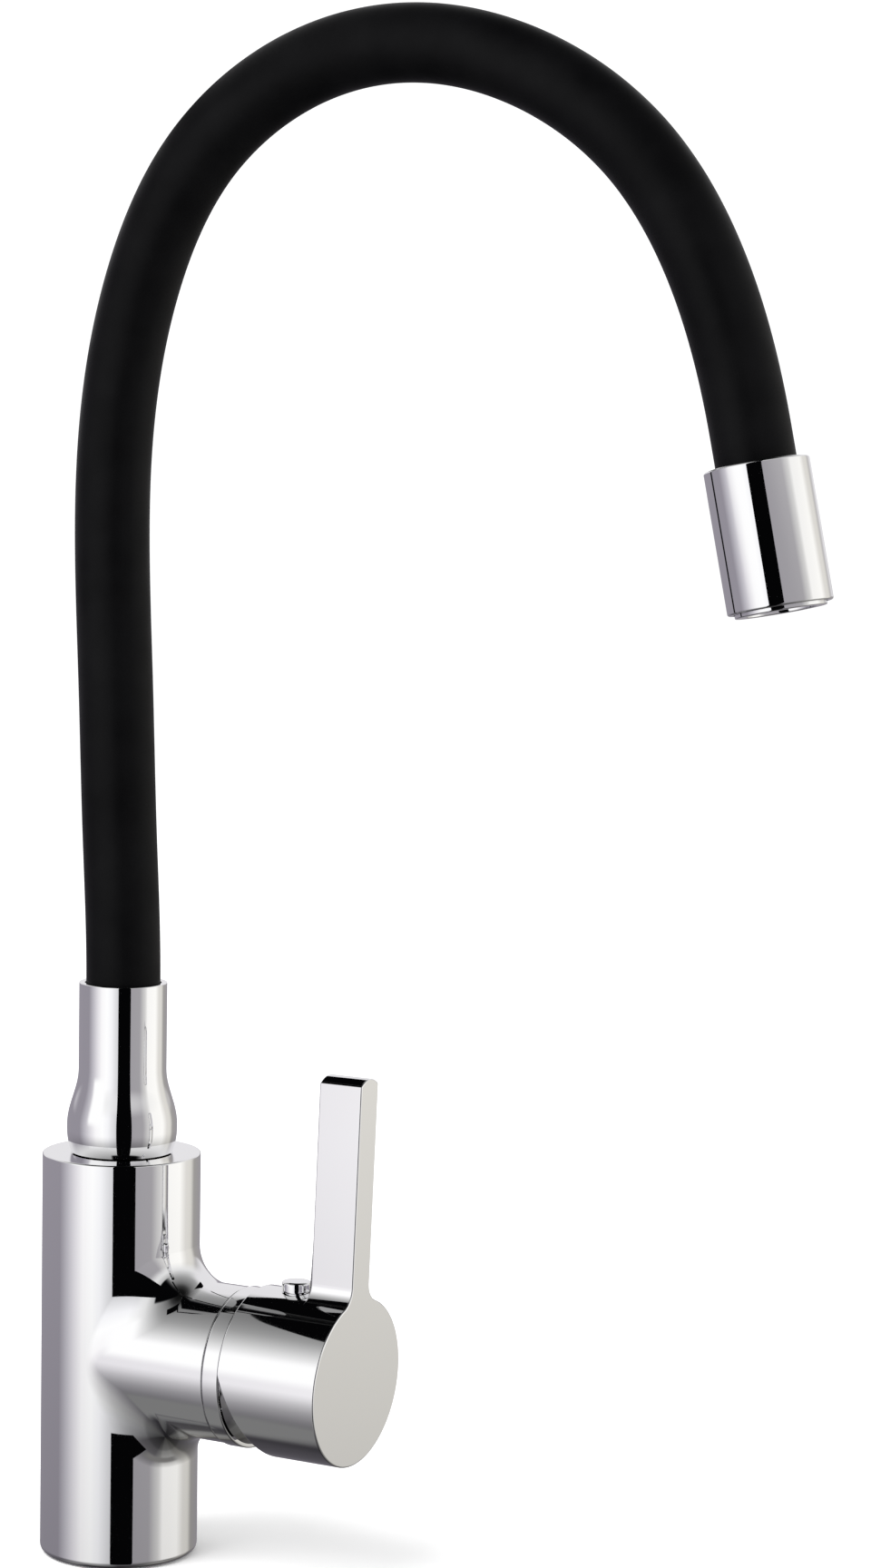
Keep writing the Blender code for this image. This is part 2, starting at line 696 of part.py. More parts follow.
def port_seals():
    seals = []
    inner = PORT_RADIUS
    for name, y, z in PORTS:
        front = CARTRIDGE_REAR + SEAL_THICKNESS
        profile = ring_profile(inner, inner + SEAL_WALL, CARTRIDGE_REAR, front)
        seal = turned("port_seal_" + name, profile, SMALL_SIDES)
        seals.append(finish(place(seal, at_branch(y, z), ALONG_X), RUBBER))
    return seals


def cartridge_base():
    front = CARTRIDGE_REAR + CARTRIDGE_BASE_THICKNESS
    seal_floor = CARTRIDGE_REAR + SEAL_THICKNESS + SEAT_GAP
    seal_pocket = PORT_RADIUS + SEAL_WALL + SEAT_GAP
    hole = [
        (0.0, front + OVERRUN),
        (PORT_RADIUS, front + OVERRUN),
        (PORT_RADIUS, seal_floor),
        (seal_pocket, seal_floor),
        (seal_pocket, CARTRIDGE_REAR - OVERRUN),
        (0.0, CARTRIDGE_REAR - OVERRUN),
    ]
    cutters = [
        cutter("seal_pocket_cut", hole, at_branch(y, z), ALONG_X, SMALL_SIDES)
        for _, y, z in PORTS
    ]
    disc = turned("cartridge_base", rod_profile(CARTRIDGE_RADIUS, CARTRIDGE_REAR, front), BODY_SIDES)
    return finish(cut(place(disc, at_branch(), ALONG_X), *cutters), WHITE_PLASTIC)


def fixed_disc():
    front = FIXED_DISC_REAR + CERAMIC_THICKNESS
    hole = rod_profile(PORT_RADIUS, FIXED_DISC_REAR - OVERRUN, front + OVERRUN)
    cutters = [
        cutter("disc_port_cut", hole, at_branch(y, z), ALONG_X, SMALL_SIDES) for _, y, z in PORTS
    ]
    profile = rod_profile(CARTRIDGE_BORE_RADIUS - SEAT_GAP, FIXED_DISC_REAR, front)
    disc = turned("fixed_disc", profile, INNER_SIDES)
    return finish(cut(place(disc, at_branch(), ALONG_X), *cutters), CERAMIC)


def moving_disc():
    """It stands low while the water is off, and slides up over the ports as the lever lifts."""
    rear = MOVING_DISC_REAR
    recess = rear + MIXING_RECESS_DEPTH
    profile = [
        (0.0, rear + CERAMIC_THICKNESS),
        (MOVING_DISC_RADIUS, rear + CERAMIC_THICKNESS),
        (MOVING_DISC_RADIUS, rear),
        (MIXING_RECESS_RADIUS, rear),
        (MIXING_RECESS_RADIUS, recess),
        (0.0, recess),
    ]
    disc = turned("moving_disc", profile, INNER_SIDES)
    return finish(place(disc, at_branch(z=BRANCH_HEIGHT - DISC_OFFSET), ALONG_X), CERAMIC)


def disc_carrier():
    profile = rod_profile(MOVING_DISC_RADIUS - CARRIER_INSET, CARRIER_REAR, CARRIER_FRONT)
    disc = place(
        turned("disc_carrier", profile, INNER_SIDES),
        at_branch(z=BRANCH_HEIGHT - DISC_OFFSET),
        ALONG_X,
    )
    half = STEM_BALL_RADIUS + RUNNING_GAP
    pocket = block(
        "ball_pocket_cut",
        (BALL_X - half, -half, BRANCH_HEIGHT - half),
        (CARRIER_FRONT + OVERRUN, half, BRANCH_HEIGHT + half),
        CUTTERS,
    )
    return finish(cut(disc, pocket), GREY_PLASTIC)


def cartridge_housing():
    neck_bore = ROTOR_NECK_RADIUS + RUNNING_GAP
    profile = [
        (HOUSING_NOSE_RADIUS, HOUSING_NOSE_END),
        (HOUSING_NOSE_RADIUS, HOUSING_SHOULDER),
        (CARTRIDGE_RADIUS, HOUSING_SHOULDER),
        (CARTRIDGE_RADIUS, FIXED_DISC_REAR),
        (CARTRIDGE_BORE_RADIUS, FIXED_DISC_REAR),
        (CARTRIDGE_BORE_RADIUS, HOUSING_STEP),
        (neck_bore, HOUSING_STEP),
        (neck_bore, HOUSING_NOSE_END),
    ]
    housing = turned("cartridge_housing", profile, BODY_SIDES)
    return finish(place(housing, at_branch(), ALONG_X), WHITE_PLASTIC)


def stem_swing(distance):
    """How far the stem's edge sinks at a distance from its pivot, when the lever is up."""
    return distance * math.tan(LIFT_ANGLE) + STEM_THICKNESS / 2 / math.cos(LIFT_ANGLE)


def pin_hole():
    half = CARTRIDGE_BORE_RADIUS + OVERRUN
    hole = rod_profile(PIN_RADIUS + PIN_GAP, -half, half)
    return cutter("pin_cut", hole, (PIVOT_X, 0.0, BRANCH_HEIGHT), ALONG_Y, SMALL_SIDES)


def cartridge_rotor():
    rear = CARRIER_FRONT + RUNNING_GAP
    front = NUT_HEX_FRONT
    step = HOUSING_STEP - RUNNING_GAP
    flange = CARTRIDGE_BORE_RADIUS - RUNNING_GAP
    profile = [
        (0.0, front),
        (ROTOR_NECK_RADIUS, front),
        (ROTOR_NECK_RADIUS, step),
        (flange, step),
        (flange, rear),
        (0.0, rear),
    ]
    rotor = place(turned("cartridge_rotor", profile, SPOUT_SIDES), at_branch(), ALONG_X)
    half = STEM_WIDTH / 2 + RUNNING_GAP
    down = stem_swing(front - PIVOT_X) + RUNNING_GAP
    up = stem_swing(PIVOT_X - rear) + RUNNING_GAP
    slot = block(
        "stem_slot_cut",
        (rear - OVERRUN, -half, BRANCH_HEIGHT - down),
        (front + OVERRUN, half, BRANCH_HEIGHT + up),
        CUTTERS,
    )
    return finish(cut(rotor, slot, pin_hole()), WHITE_PLASTIC)


def pivot_pin():
    half = CARTRIDGE_BORE_RADIUS - RUNNING_GAP - PIN_END_GAP
    pin = turned("pivot_pin", rod_profile(PIN_RADIUS, -half, half), SMALL_SIDES)
    return finish(place(pin, (PIVOT_X, 0.0, BRANCH_HEIGHT), ALONG_Y), STEEL)


def cartridge_stem():
    half_width = STEM_WIDTH / 2
    half = STEM_THICKNESS / 2
    half_neck = STEM_NECK_THICKNESS / 2
    rear = BALL_X + STEM_NECK_LENGTH
    bar = block(
        "cartridge_stem",
        (rear, -half_width, BRANCH_HEIGHT - half),
        (STEM_FRONT, half_width, BRANCH_HEIGHT + half),
    )
    neck = block(
        "stem_neck",
        (BALL_X, -half_neck, BRANCH_HEIGHT - half_neck),
        (rear + OVERRUN, half_neck, BRANCH_HEIGHT + half_neck),
        CUTTERS,
    )
    ball = cutter("stem_ball", ball_profile(STEM_BALL_RADIUS), (BALL_X, 0.0, BRANCH_HEIGHT))
    return finish(cut(join(bar, neck, ball), pin_hole()), BRASS)


def cartridge_nut():
    thread_front = BRANCH_REACH - NUT_RECESS
    ring = rod_profile(NUT_BORE_RADIUS - SEAT_GAP, NUT_REAR, thread_front)
    nut = place(turned("cartridge_nut", ring, BODY_SIDES), at_branch(), ALONG_X)
    hexagon = hex_rod("nut_hex", NUT_HEX_ACROSS_FLATS, NUT_REAR + OVERRUN, NUT_HEX_FRONT)
    place(hexagon, at_branch(), ALONG_X)
    hole = rod_profile(HOUSING_NOSE_RADIUS + SEAT_GAP, NUT_REAR - OVERRUN, NUT_HEX_FRONT + OVERRUN)
    bore = cutter("nut_bore_cut", hole, at_branch(), ALONG_X, BODY_SIDES)
    return finish(cut(join(nut, hexagon), bore), BRASS)


def trim_dome():
    """The bright ring at the joint line, with the round dome that the handle tilts over."""
    inner_radius = DOME_RADIUS - DOME_WALL
    ring_bore = RING_RADIUS - RING_WALL
    edge = RING_ROUNDING
    outer_start = math.acos((RING_FRONT - PIVOT_X) / DOME_RADIUS)
    outer_end = math.asin(DOME_MOUTH_RADIUS / DOME_RADIUS)
    inner_start = math.asin(DOME_MOUTH_RADIUS / inner_radius)
    inner_end = math.asin(ring_bore / inner_radius)

    def on_sphere(radius, angle):
        return (radius * math.sin(angle), PIVOT_X + radius * math.cos(angle))

    def sphere_arc(radius, start, end):
        steps = range(ARC_STEPS + 1)
        return [on_sphere(radius, start + (end - start) * i / ARC_STEPS) for i in steps]

    profile = [
        *sphere_arc(DOME_RADIUS, outer_end, outer_start),
        *arc((RING_RADIUS - edge, RING_FRONT - edge), edge, math.pi / 2, 0.0, 2),
        *arc((RING_RADIUS - edge, RING_REAR + edge), edge, 0.0, -math.pi / 2, 2),
        (ring_bore, RING_REAR),
        *sphere_arc(inner_radius, inner_end, inner_start),
    ]
    dome = turned("trim_dome", profile, HANDLE_SIDES)
    return finish(place(dome, at_branch(), ALONG_X), CHROME)


def lever_outline():
    """The lever seen from the front, with the sweeps that lead into the round face."""
    half = LEVER_WIDTH / 2
    sweep_y = half + LEVER_FILLET
    reach = HANDLE_RADIUS + LEVER_FILLET
    sweep_z = math.sqrt(reach**2 - sweep_y**2)
    foot = math.atan2(-sweep_z, -sweep_y)
    crown_radius = (half**2 + LEVER_CROWN**2) / (2 * LEVER_CROWN)
    crown_middle = (0.0, LEVER_REACH - crown_radius)
    crown_start = math.acos(half / crown_radius)
    right = [
        (sweep_y * HANDLE_RADIUS / reach, HANDLE_BORE / 2),
        *arc((sweep_y, sweep_z), LEVER_FILLET, foot, -math.pi),
        *arc(crown_middle, crown_radius, crown_start, math.pi / 2)[:-1],
    ]
    return [*right, (0.0, LEVER_REACH), *((-y, z) for y, z in reversed(right))]


def handle():
    middle = BRANCH_HEIGHT
    cap = rod_profile(HANDLE_RADIUS, HANDLE_REAR, HANDLE_FACE + 2 * OVERRUN)
    body = place(turned("handle", cap, HANDLE_SIDES), at_branch(), ALONG_X)

    leaning = (math.pi / 2 + HANDLE_LEAN, 0.0, math.pi / 2)
    forward = Vector((math.cos(HANDLE_LEAN), 0.0, -math.sin(HANDLE_LEAN)))
    face = Vector((HANDLE_FACE, 0.0, middle))
    lever = flat_outline("lever", lever_outline(), LEVER_DEPTH + OVERRUN, CUTTERS)
    place(lever, face + forward * (OVERRUN - LEVER_DEPTH) / 2, leaning)
    wide = HANDLE_RADIUS + OVERRUN
    front = block(
        "face_cut",
        (-wide, -wide, 0.0),
        (wide, LEVER_REACH + OVERRUN, HANDLE_DEPTH),
        CUTTERS,
    )
    place(front, face, leaning)
    lift = block(
        "lift_cut",
        (-HANDLE_REAR, -wide, -2 * wide),
        (HANDLE_REAR - PIVOT_X, wide, 2 * wide),
        CUTTERS,
    )
    place(lift, (PIVOT_X, 0.0, middle), (0.0, -LIFT_ANGLE, 0.0))
    face_back = HANDLE_FACE - HANDLE_FACE_WALL
    hollow = rod_profile(HANDLE_BORE, HANDLE_REAR - OVERRUN, face_back)
    hollow_cut = cutter("hollow_cut", hollow, at_branch(), ALONG_X, HANDLE_SIDES)
    cut(join(body, lever), front, lift, hollow_cut)

    hub_rear = PIVOT_X + DOME_RADIUS + RUNNING_GAP
    hub = rod_profile(HUB_RADIUS, hub_rear, face_back + HANDLE_FACE_WALL / 2)
    screw_hole = SCREW_RADIUS + SEAT_GAP
    boss = rod_profile(BOSS_RADIUS, HUB_RADIUS / 2, HANDLE_RADIUS - HANDLE_WALL / 2)
    screw_axis = (SCREW_X, 0.0, middle)
    join(
        body,
        cutter("hub", hub, at_branch(), ALONG_X),
        cutter("screw_boss", boss, screw_axis),
    )
    half_width = STEM_WIDTH / 2 + SEAT_GAP
    half = STEM_THICKNESS / 2 + SEAT_GAP
    socket = block(
        "stem_socket_cut",
        (HANDLE_REAR, -half_width, middle - half),
        (STEM_FRONT + SEAT_GAP, half_width, middle + half),
        CUTTERS,
    )
    plug_floor = HANDLE_RADIUS - PLUG_STEM_LENGTH - SEAT_GAP
    holes = [
        (0.0, HANDLE_RADIUS + OVERRUN),
        (PLUG_HOLE_RADIUS, HANDLE_RADIUS + OVERRUN),
        (PLUG_HOLE_RADIUS, plug_floor),
        (screw_hole, plug_floor),
        (screw_hole, 0.0),
        (0.0, 0.0),
    ]
    cut(body, socket, cutter("screw_cut", holes, screw_axis, sides=SMALL_SIDES))
    return finish(body, CHROME)


def set_screw():
    low = STEM_THICKNESS / 2 + SEAT_GAP
    top = low + SCREW_LENGTH
    key = hex_rod("screw_key_cut", SCREW_KEY_ACROSS_FLATS, top - SCREW_KEY_DEPTH, top + OVERRUN)
    place(key, (SCREW_X, 0.0, BRANCH_HEIGHT))
    screw = turned("set_screw", rod_profile(SCREW_RADIUS, low, top), SMALL_SIDES)
    return finish(cut(place(screw, (SCREW_X, 0.0, BRANCH_HEIGHT)), key), STEEL)


def indicator_plug():
    foot = HANDLE_RADIUS + SEAT_GAP
    top = foot + PLUG_HEAD_HEIGHT
    round_off = PLUG_HEAD_ROUNDING
    shoulder = (PLUG_HEAD_RADIUS - round_off, top - round_off)
    profile = [
        (0.0, top),
        *arc(shoulder, round_off, math.pi / 2, 0.0),
        (PLUG_HEAD_RADIUS, foot),
        (PLUG_STEM_RADIUS, foot),
        (PLUG_STEM_RADIUS, HANDLE_RADIUS - PLUG_STEM_LENGTH),
        (0.0, HANDLE_RADIUS - PLUG_STEM_LENGTH),
    ]
    plug = turned("indicator_plug", profile, INNER_SIDES)
    return finish(place(plug, (SCREW_X, 0.0, BRANCH_HEIGHT)), CHROME)


def spout_slip_ring():
    low = BODY_HEIGHT + SEAT_GAP
    inner = NIPPLE_NECK_RADIUS + RUNNING_GAP
    profile = ring_profile(inner, SLIP_RING_RADIUS, low, low + SLIP_RING_THICKNESS)
    return finish(turned("spout_slip_ring", profile, SPOUT_SIDES), RUBBER)


def spout_base():
    """The bright bell that the hose rises from."""
    shoulder = BODY_HEIGHT + BELL_SHOULDER_RISE
    waist = BODY_HEIGHT + BELL_WAIST_RISE
    bulge = BODY_HEIGHT + BELL_BULGE_RISE
    outside = [(BELL_SLEEVE_RADIUS, BELL_TOP)]
    for i in range(SHOULDER_STEPS + 1):
        share = i / SHOULDER_STEPS
        radius = BELL_SLEEVE_RADIUS + BELL_FLARE * (1 - math.cos(math.pi * share)) / 2
        outside.append((radius, waist + (shoulder - waist) * share))
    drop = bulge - BELL_FOOT
    round_radius = (BELL_FOOT_INSET**2 + drop**2) / (2 * BELL_FOOT_INSET)
    round_middle = (BELL_BULGE_RADIUS - round_radius, bulge)
    outside += arc(round_middle, round_radius, 0.0, -math.asin(drop / round_radius))
    recess = SLIP_RING_RADIUS + RUNNING_GAP
    neck = NIPPLE_NECK_RADIUS + SEAT_GAP
    hose = HOSE_RADIUS + SEAT_GAP
    inside = [
        (recess, BELL_FOOT),
        (recess, BELL_RECESS),
        (neck, BELL_RECESS),
        (neck, HOSE_SEAT),
        (hose, HOSE_SEAT),
        (hose, BELL_TOP),
    ]
    return finish(turned("spout_base", outside + inside, SPOUT_SIDES), CHROME)


def spout_nipple():
    barrel_top = BODY_HEIGHT - SEAT_GAP
    barrel_foot = SOCKET_FLOOR + SEAT_GAP
    tail_top = HOSE_SEAT + SEAT_GAP + FERRULE_LENGTH
    o_groove = O_RING_RADIUS - O_RING_SECTION - SEAT_GAP
    reach = O_RING_SECTION + SEAT_GAP
    clip_groove = BARREL_RADIUS - CLIP_GRIP - SEAT_GAP
    outside = [
        (TAIL_RADIUS, tail_top),
        (TAIL_RADIUS, HOSE_SEAT),
        (NIPPLE_NECK_RADIUS, HOSE_SEAT),
        (NIPPLE_NECK_RADIUS, barrel_top),
        (BARREL_RADIUS, barrel_top),
    ]
    for height in O_RING_HEIGHTS:
        outside += [
            (BARREL_RADIUS, height + reach),
            (o_groove, height + reach),
            (o_groove, height - reach),
            (BARREL_RADIUS, height - reach),
        ]
    outside += clip_groove_profile(BARREL_RADIUS, clip_groove, barrel_foot, barrel_top)[2:-1]
    inside = [
        (NIPPLE_BORE_RADIUS, barrel_foot),
        (NIPPLE_BORE_RADIUS, HOSE_SEAT - TAIL_RADIUS),
        (TAIL_BORE_RADIUS, HOSE_SEAT - TAIL_RADIUS),
        (TAIL_BORE_RADIUS, tail_top),
    ]
    return finish(turned("spout_nipple", outside + inside, INNER_SIDES), BRASS)


def o_rings():
    rings = []
    for name, height in zip(("upper", "lower"), O_RING_HEIGHTS):
        profile = arc((O_RING_RADIUS, 0.0), O_RING_SECTION, math.pi, -math.pi, HOLE_SIDES)[:-1]
        ring = turned("o_ring_" + name, profile, INNER_SIDES)
        rings.append(finish(place(ring, (0.0, 0.0, height)), RUBBER))
    return rings


def snap_ring():
    inner = BARREL_RADIUS - CLIP_GRIP
    outer = SOCKET_RADIUS + CLIP_BITE
    half = CLIP_THICKNESS / 2
    ring = turned("snap_ring", ring_profile(inner, outer, -half, half), SPOUT_SIDES)
    split = block(
        "clip_split_cut",
        (-outer - OVERRUN, -CLIP_SPLIT / 2, CLIP_HEIGHT - CLIP_THICKNESS),
        (0.0, CLIP_SPLIT / 2, CLIP_HEIGHT + CLIP_THICKNESS),
        CUTTERS,
    )
    return finish(cut(place(ring, (0.0, 0.0, CLIP_HEIGHT)), split), STEEL)


class HoseRoute:
    """The hose's middle line, a smooth curve that is read by the distance along it."""

    def __init__(self):
        start = np.array((0.0, HOSE_SEAT + SEAT_GAP))
        down = np.array((OUTLET_DOWN.x, OUTLET_DOWN.z))
        through = np.array([(0.0, BELL_TOP), *HOSE_ROUTE])
        curve = self.smooth(through, np.array((0.0, 1.0)), down)
        self.points = np.vstack([start, curve, through[-1] + down * LINER_END_DEPTH])
        steps = np.hypot(*np.diff(self.points, axis=0).T)
        self.distances = np.concatenate([[0.0], np.cumsum(steps)])
        self.length = self.distances[-1]
        self.exit = self.distances[1]
        self.entry = self.distances[-2]
        free = self.entry - self.exit
        self.joints = [self.exit + share * free for share in HOSE_JOINT_SHARES]

    @staticmethod
    def smooth(through, start_direction, end_direction):
        """A cubic spline through the points, with its direction set at both ends."""
        spans = np.hypot(*np.diff(through, axis=0).T)
        slopes = np.diff(through, axis=0) / spans[:, None]
        last = len(through) - 1
        matrix = np.eye(len(through))
        right = np.zeros_like(through)
        right[0] = start_direction
        right[last] = end_direction
        for i in range(1, last):
            before = 1 / spans[i - 1]
            after = 1 / spans[i]
            matrix[i, i - 1 : i + 2] = (before, 2 * (before + after), after)
            right[i] = 3 * (slopes[i - 1] * before + slopes[i] * after)
        tangents = np.linalg.solve(matrix, right)
        points = [through[0]]
        for i, span in enumerate(spans):
            for step in range(1, CURVE_STEPS + 1):
                t = step / CURVE_STEPS
                points.append(
                    (2 * t**3 - 3 * t**2 + 1) * through[i]
                    + (t**3 - 2 * t**2 + t) * span * tangents[i]
                    + (3 * t**2 - 2 * t**3) * through[i + 1]
                    + (t**3 - t**2) * span * tangents[i + 1]
                )
        return np.array(points)

    def point(self, distance):
        x, z = (np.interp(distance, self.distances, column) for column in self.points.T)
        return Vector((float(x), 0.0, float(z)))

    def turn(self, distance):
        """Rotation that lays a piece's own Z along the hose."""
        ahead = self.point(distance + HOSE_RADIUS / 2) - self.point(distance - HOSE_RADIUS / 2)
        return (0.0, math.atan2(ahead.x, ahead.z), 0.0)

    def stretch(self, start, end):
        """Points from one distance to another, with one at each end of the free hose."""
        stops = [start, *(s for s in (self.exit, self.entry) if start < s < end), end]
        found = [start]
        for low, high in zip(stops, stops[1:]):
            count = max(1, round((high - low) / HOSE_POINT_SPACING))
            found += [low + (high - low) * i / count for i in range(1, count + 1)]
        return [self.point(distance) for distance in found]


def hose_piece(name, route, index, ends, radius, bore, resolutions):
    """One stretch of sleeve or liner: hollow at its lower joint, round at its upper one."""
    joints = route.joints
    first = index == 0
    last = index == len(joints)
    start = ends[0] if first else joints[index - 1]
    end = ends[1] if last else joints[index] + HOSE_BALL_RADIUS + OVERRUN
    piece = bar_along(name, route.stretch(start, end), radius, resolutions[0], PARTS)
    bore_start = start - OVERRUN if first else start
    bore_end = end + OVERRUN if last else end
    path = route.stretch(max(bore_start, 0.0), min(bore_end, route.length))
    if bore_start < 0.0:
        path[0] = path[0] - Vector((0.0, 0.0, OVERRUN))
    if bore_end > route.length:
        path[-1] = path[-1] + OUTLET_DOWN * OVERRUN
    cutters = [bar_along(name + "_bore", path, bore, resolutions[1], CUTTERS)]
    if not first:
        ball = ball_profile(HOSE_BALL_RADIUS + HOSE_BALL_GAP)
        cutters.append(cutter(name + "_socket", ball, route.point(start), route.turn(start)))
    if not last:
        joint = joints[index]
        cutters.append(
            cutter(name + "_cup", cup_profile(), route.point(joint), route.turn(joint))
        )
    return cut(piece, *cutters)


def cup_profile():
    """What lies outside a joint's ball, past its middle."""
    outer = HOSE_BALL_RADIUS + OVERRUN
    top = HOSE_BALL_RADIUS + 3 * OVERRUN
    start = math.acos((HOSE_RADIUS + OVERRUN) / HOSE_BALL_RADIUS)
    low = HOSE_BALL_RADIUS * math.sin(start)
    return [
        (0.0, top),
        (outer, top),
        (outer, low),
        *arc((0.0, 0.0), HOSE_BALL_RADIUS, start, math.pi / 2),
    ]


def hose_pieces(route):
    """Sleeves and liners of the stretches between the joints, lowest first."""
    sleeve_ends = (
        FERRULE_LENGTH + SEAT_GAP,
        route.entry + OUTLET_MOUTH_DEPTH - SEAT_GAP,
    )
    liner_ends = (0.0, route.length)
    sleeves = []
    liners = []
    for index in range(len(route.joints) + 1):
        number = str(index + 1)
        sleeve = hose_piece(
            "hose_sleeve_" + number,
            route,
            index,
            sleeve_ends,
            HOSE_RADIUS,
            SLEEVE_BORE_RADIUS,
            (SLEEVE_RESOLUTION, LINER_RESOLUTION),
        )
        liner = hose_piece(
            "hose_liner_" + number,
            route,
            index,
            liner_ends,
            LINER_RADIUS,
            LINER_BORE_RADIUS,
            (LINER_RESOLUTION, LINER_BORE_RESOLUTION),
        )
        sleeves.append(finish(sleeve, SILICONE))
        liners.append(finish(liner, STEEL))
    return sleeves, liners


def ferrule(name, low, high):
    profile = ring_profile(LINER_RADIUS + SEAT_GAP, FERRULE_RADIUS, low, high)
    return finish(turned(name, profile, INNER_SIDES), BRASS)


def at_outlet(obj):
    """Lays a piece along the outlet, its heights counted from the outlet's top."""
    return place(obj, OUTLET_TOP, ALONG_OUTLET)


def outlet_shell():
    edge = OUTLET_ROUNDING
    mouth = HOSE_RADIUS + SEAT_GAP
    rim = OUTLET_RADIUS - edge
    profile = [
        *arc((rim, -edge), edge, math.pi / 2, 0.0, 2),
        *arc((rim, edge - OUTLET_LENGTH), edge, 0.0, -math.pi / 2, 2),
        (OUTLET_BORE_RADIUS, -OUTLET_LENGTH),
        (OUTLET_BORE_RADIUS, -OUTLET_MOUTH_DEPTH),
        (mouth, -OUTLET_MOUTH_DEPTH),
        (mouth, 0.0),
    ]
    return finish(at_outlet(turned("outlet_shell", profile, SPOUT_SIDES)), CHROME)


def outlet_adaptor():
    tail_top = -OUTLET_MOUTH_DEPTH - SEAT_GAP
    top = -ADAPTOR_DEPTH
    low = top - ADAPTOR_THICKNESS
    profile = [
        (TAIL_RADIUS, tail_top),
        (TAIL_RADIUS, top),
        (AERATOR_RADIUS, top),
        (AERATOR_RADIUS, low),
        (WASHER_BORE_RADIUS, low),
        (WASHER_BORE_RADIUS, low + ADAPTOR_THICKNESS / 2),
        (TAIL_BORE_RADIUS, low + ADAPTOR_THICKNESS / 2),
        (TAIL_BORE_RADIUS, tail_top),
    ]
    return finish(at_outlet(turned("outlet_adaptor", profile, INNER_SIDES)), BRASS)


def aerator_washer():
    low = -WASHER_DEPTH - WASHER_THICKNESS
    profile = ring_profile(WASHER_BORE_RADIUS, AERATOR_RADIUS, low, -WASHER_DEPTH)
    return finish(at_outlet(turned("aerator_washer", profile, INNER_SIDES)), RUBBER)


def aerator_housing():
    bore = AERATOR_RADIUS - AERATOR_WALL
    lip_top = AERATOR_LIP_HEIGHT - AERATOR_END_DEPTH
    profile = [
        (AERATOR_RADIUS, -AERATOR_DEPTH),
        (AERATOR_RADIUS, -AERATOR_END_DEPTH),
        (bore - AERATOR_LIP_WIDTH, -AERATOR_END_DEPTH),
        (bore - AERATOR_LIP_WIDTH, lip_top),
        (bore, lip_top),
        (bore, -AERATOR_DEPTH),
    ]
    return finish(at_outlet(turned("aerator_housing", profile, SPOUT_SIDES)), CHROME)


def aerator_insert():
    low = -INSERT_END_DEPTH
    top = -AERATOR_DEPTH - INSERT_HEADROOM
    pitch = (INSERT_RADIUS - INSERT_RIM) / INSERT_RINGS
    places = [(0.0, 0.0)]
    for ring in range(1, INSERT_RINGS + 1):
        places += arc((0.0, 0.0), ring * pitch, 0.0, 2 * math.pi, 6 * ring)[:-1]
    holes = rods("insert_cut", places, INSERT_HOLE_RADIUS, HOLE_SIDES, low - OVERRUN, top + OVERRUN)
    insert = turned("aerator_insert", rod_profile(INSERT_RADIUS, low, top), SPOUT_SIDES)
    return finish(cut(at_outlet(insert), at_outlet(holes)), GREY_PLASTIC)


def build():
    for fixed in (faucet_body, base_plate, base_gasket, port_seals, cartridge_base, fixed_disc):
        fixed()
    for fixed in (cartridge_housing, cartridge_nut, trim_dome, spout_slip_ring, snap_ring):
        fixed()

    turn = joint_empty("handle_turn", (0.0, 0.0, BRANCH_HEIGHT))
    carry(turn, cartridge_rotor(), pivot_pin())
    slide = joint_empty("disc_slide", (0.0, 0.0, BRANCH_HEIGHT - DISC_OFFSET), turn)
    carry(slide, moving_disc(), disc_carrier())
    lift = joint_empty("handle_lift", (PIVOT_X, 0.0, BRANCH_HEIGHT), turn)
    carry(lift, cartridge_stem(), handle(), set_screw(), indicator_plug())

    route = HoseRoute()
    sleeves, liners = hose_pieces(route)
    swivel = joint_empty("spout_swivel", (0.0, 0.0, BODY_HEIGHT))
    lower_ferrule = ferrule("hose_ferrule_lower", 0.0, FERRULE_LENGTH)
    place(lower_ferrule, (0.0, 0.0, HOSE_SEAT + SEAT_GAP))
    carry(swivel, spout_base(), spout_nipple(), *o_rings(), lower_ferrule)
    carrier = swivel
    for index, (sleeve, liner) in enumerate(zip(sleeves, liners)):
        if index:
            joint = route.point(route.joints[index - 1])
            carrier = joint_empty("hose_bend_" + str(index), joint, carrier)
        carry(carrier, sleeve, liner)
    upper_ferrule = ferrule("hose_ferrule_upper", -LINER_END_DEPTH, -OUTLET_MOUTH_DEPTH - SEAT_GAP)
    carry(carrier, at_outlet(upper_ferrule), outlet_adaptor(), outlet_shell())
    carry(carrier, aerator_washer(), aerator_housing(), aerator_insert())


build()
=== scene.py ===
"""The looks of the flexible kitchen faucet: fine surfaces, finishes, studio light and camera.

Metres, +Z up, in the frame's own axes. The origin is the middle of the base, and +X points
towards the outlet and the handle.
"""

import math

import bmesh
import bpy
import numpy as np
from mathutils import Matrix, Vector


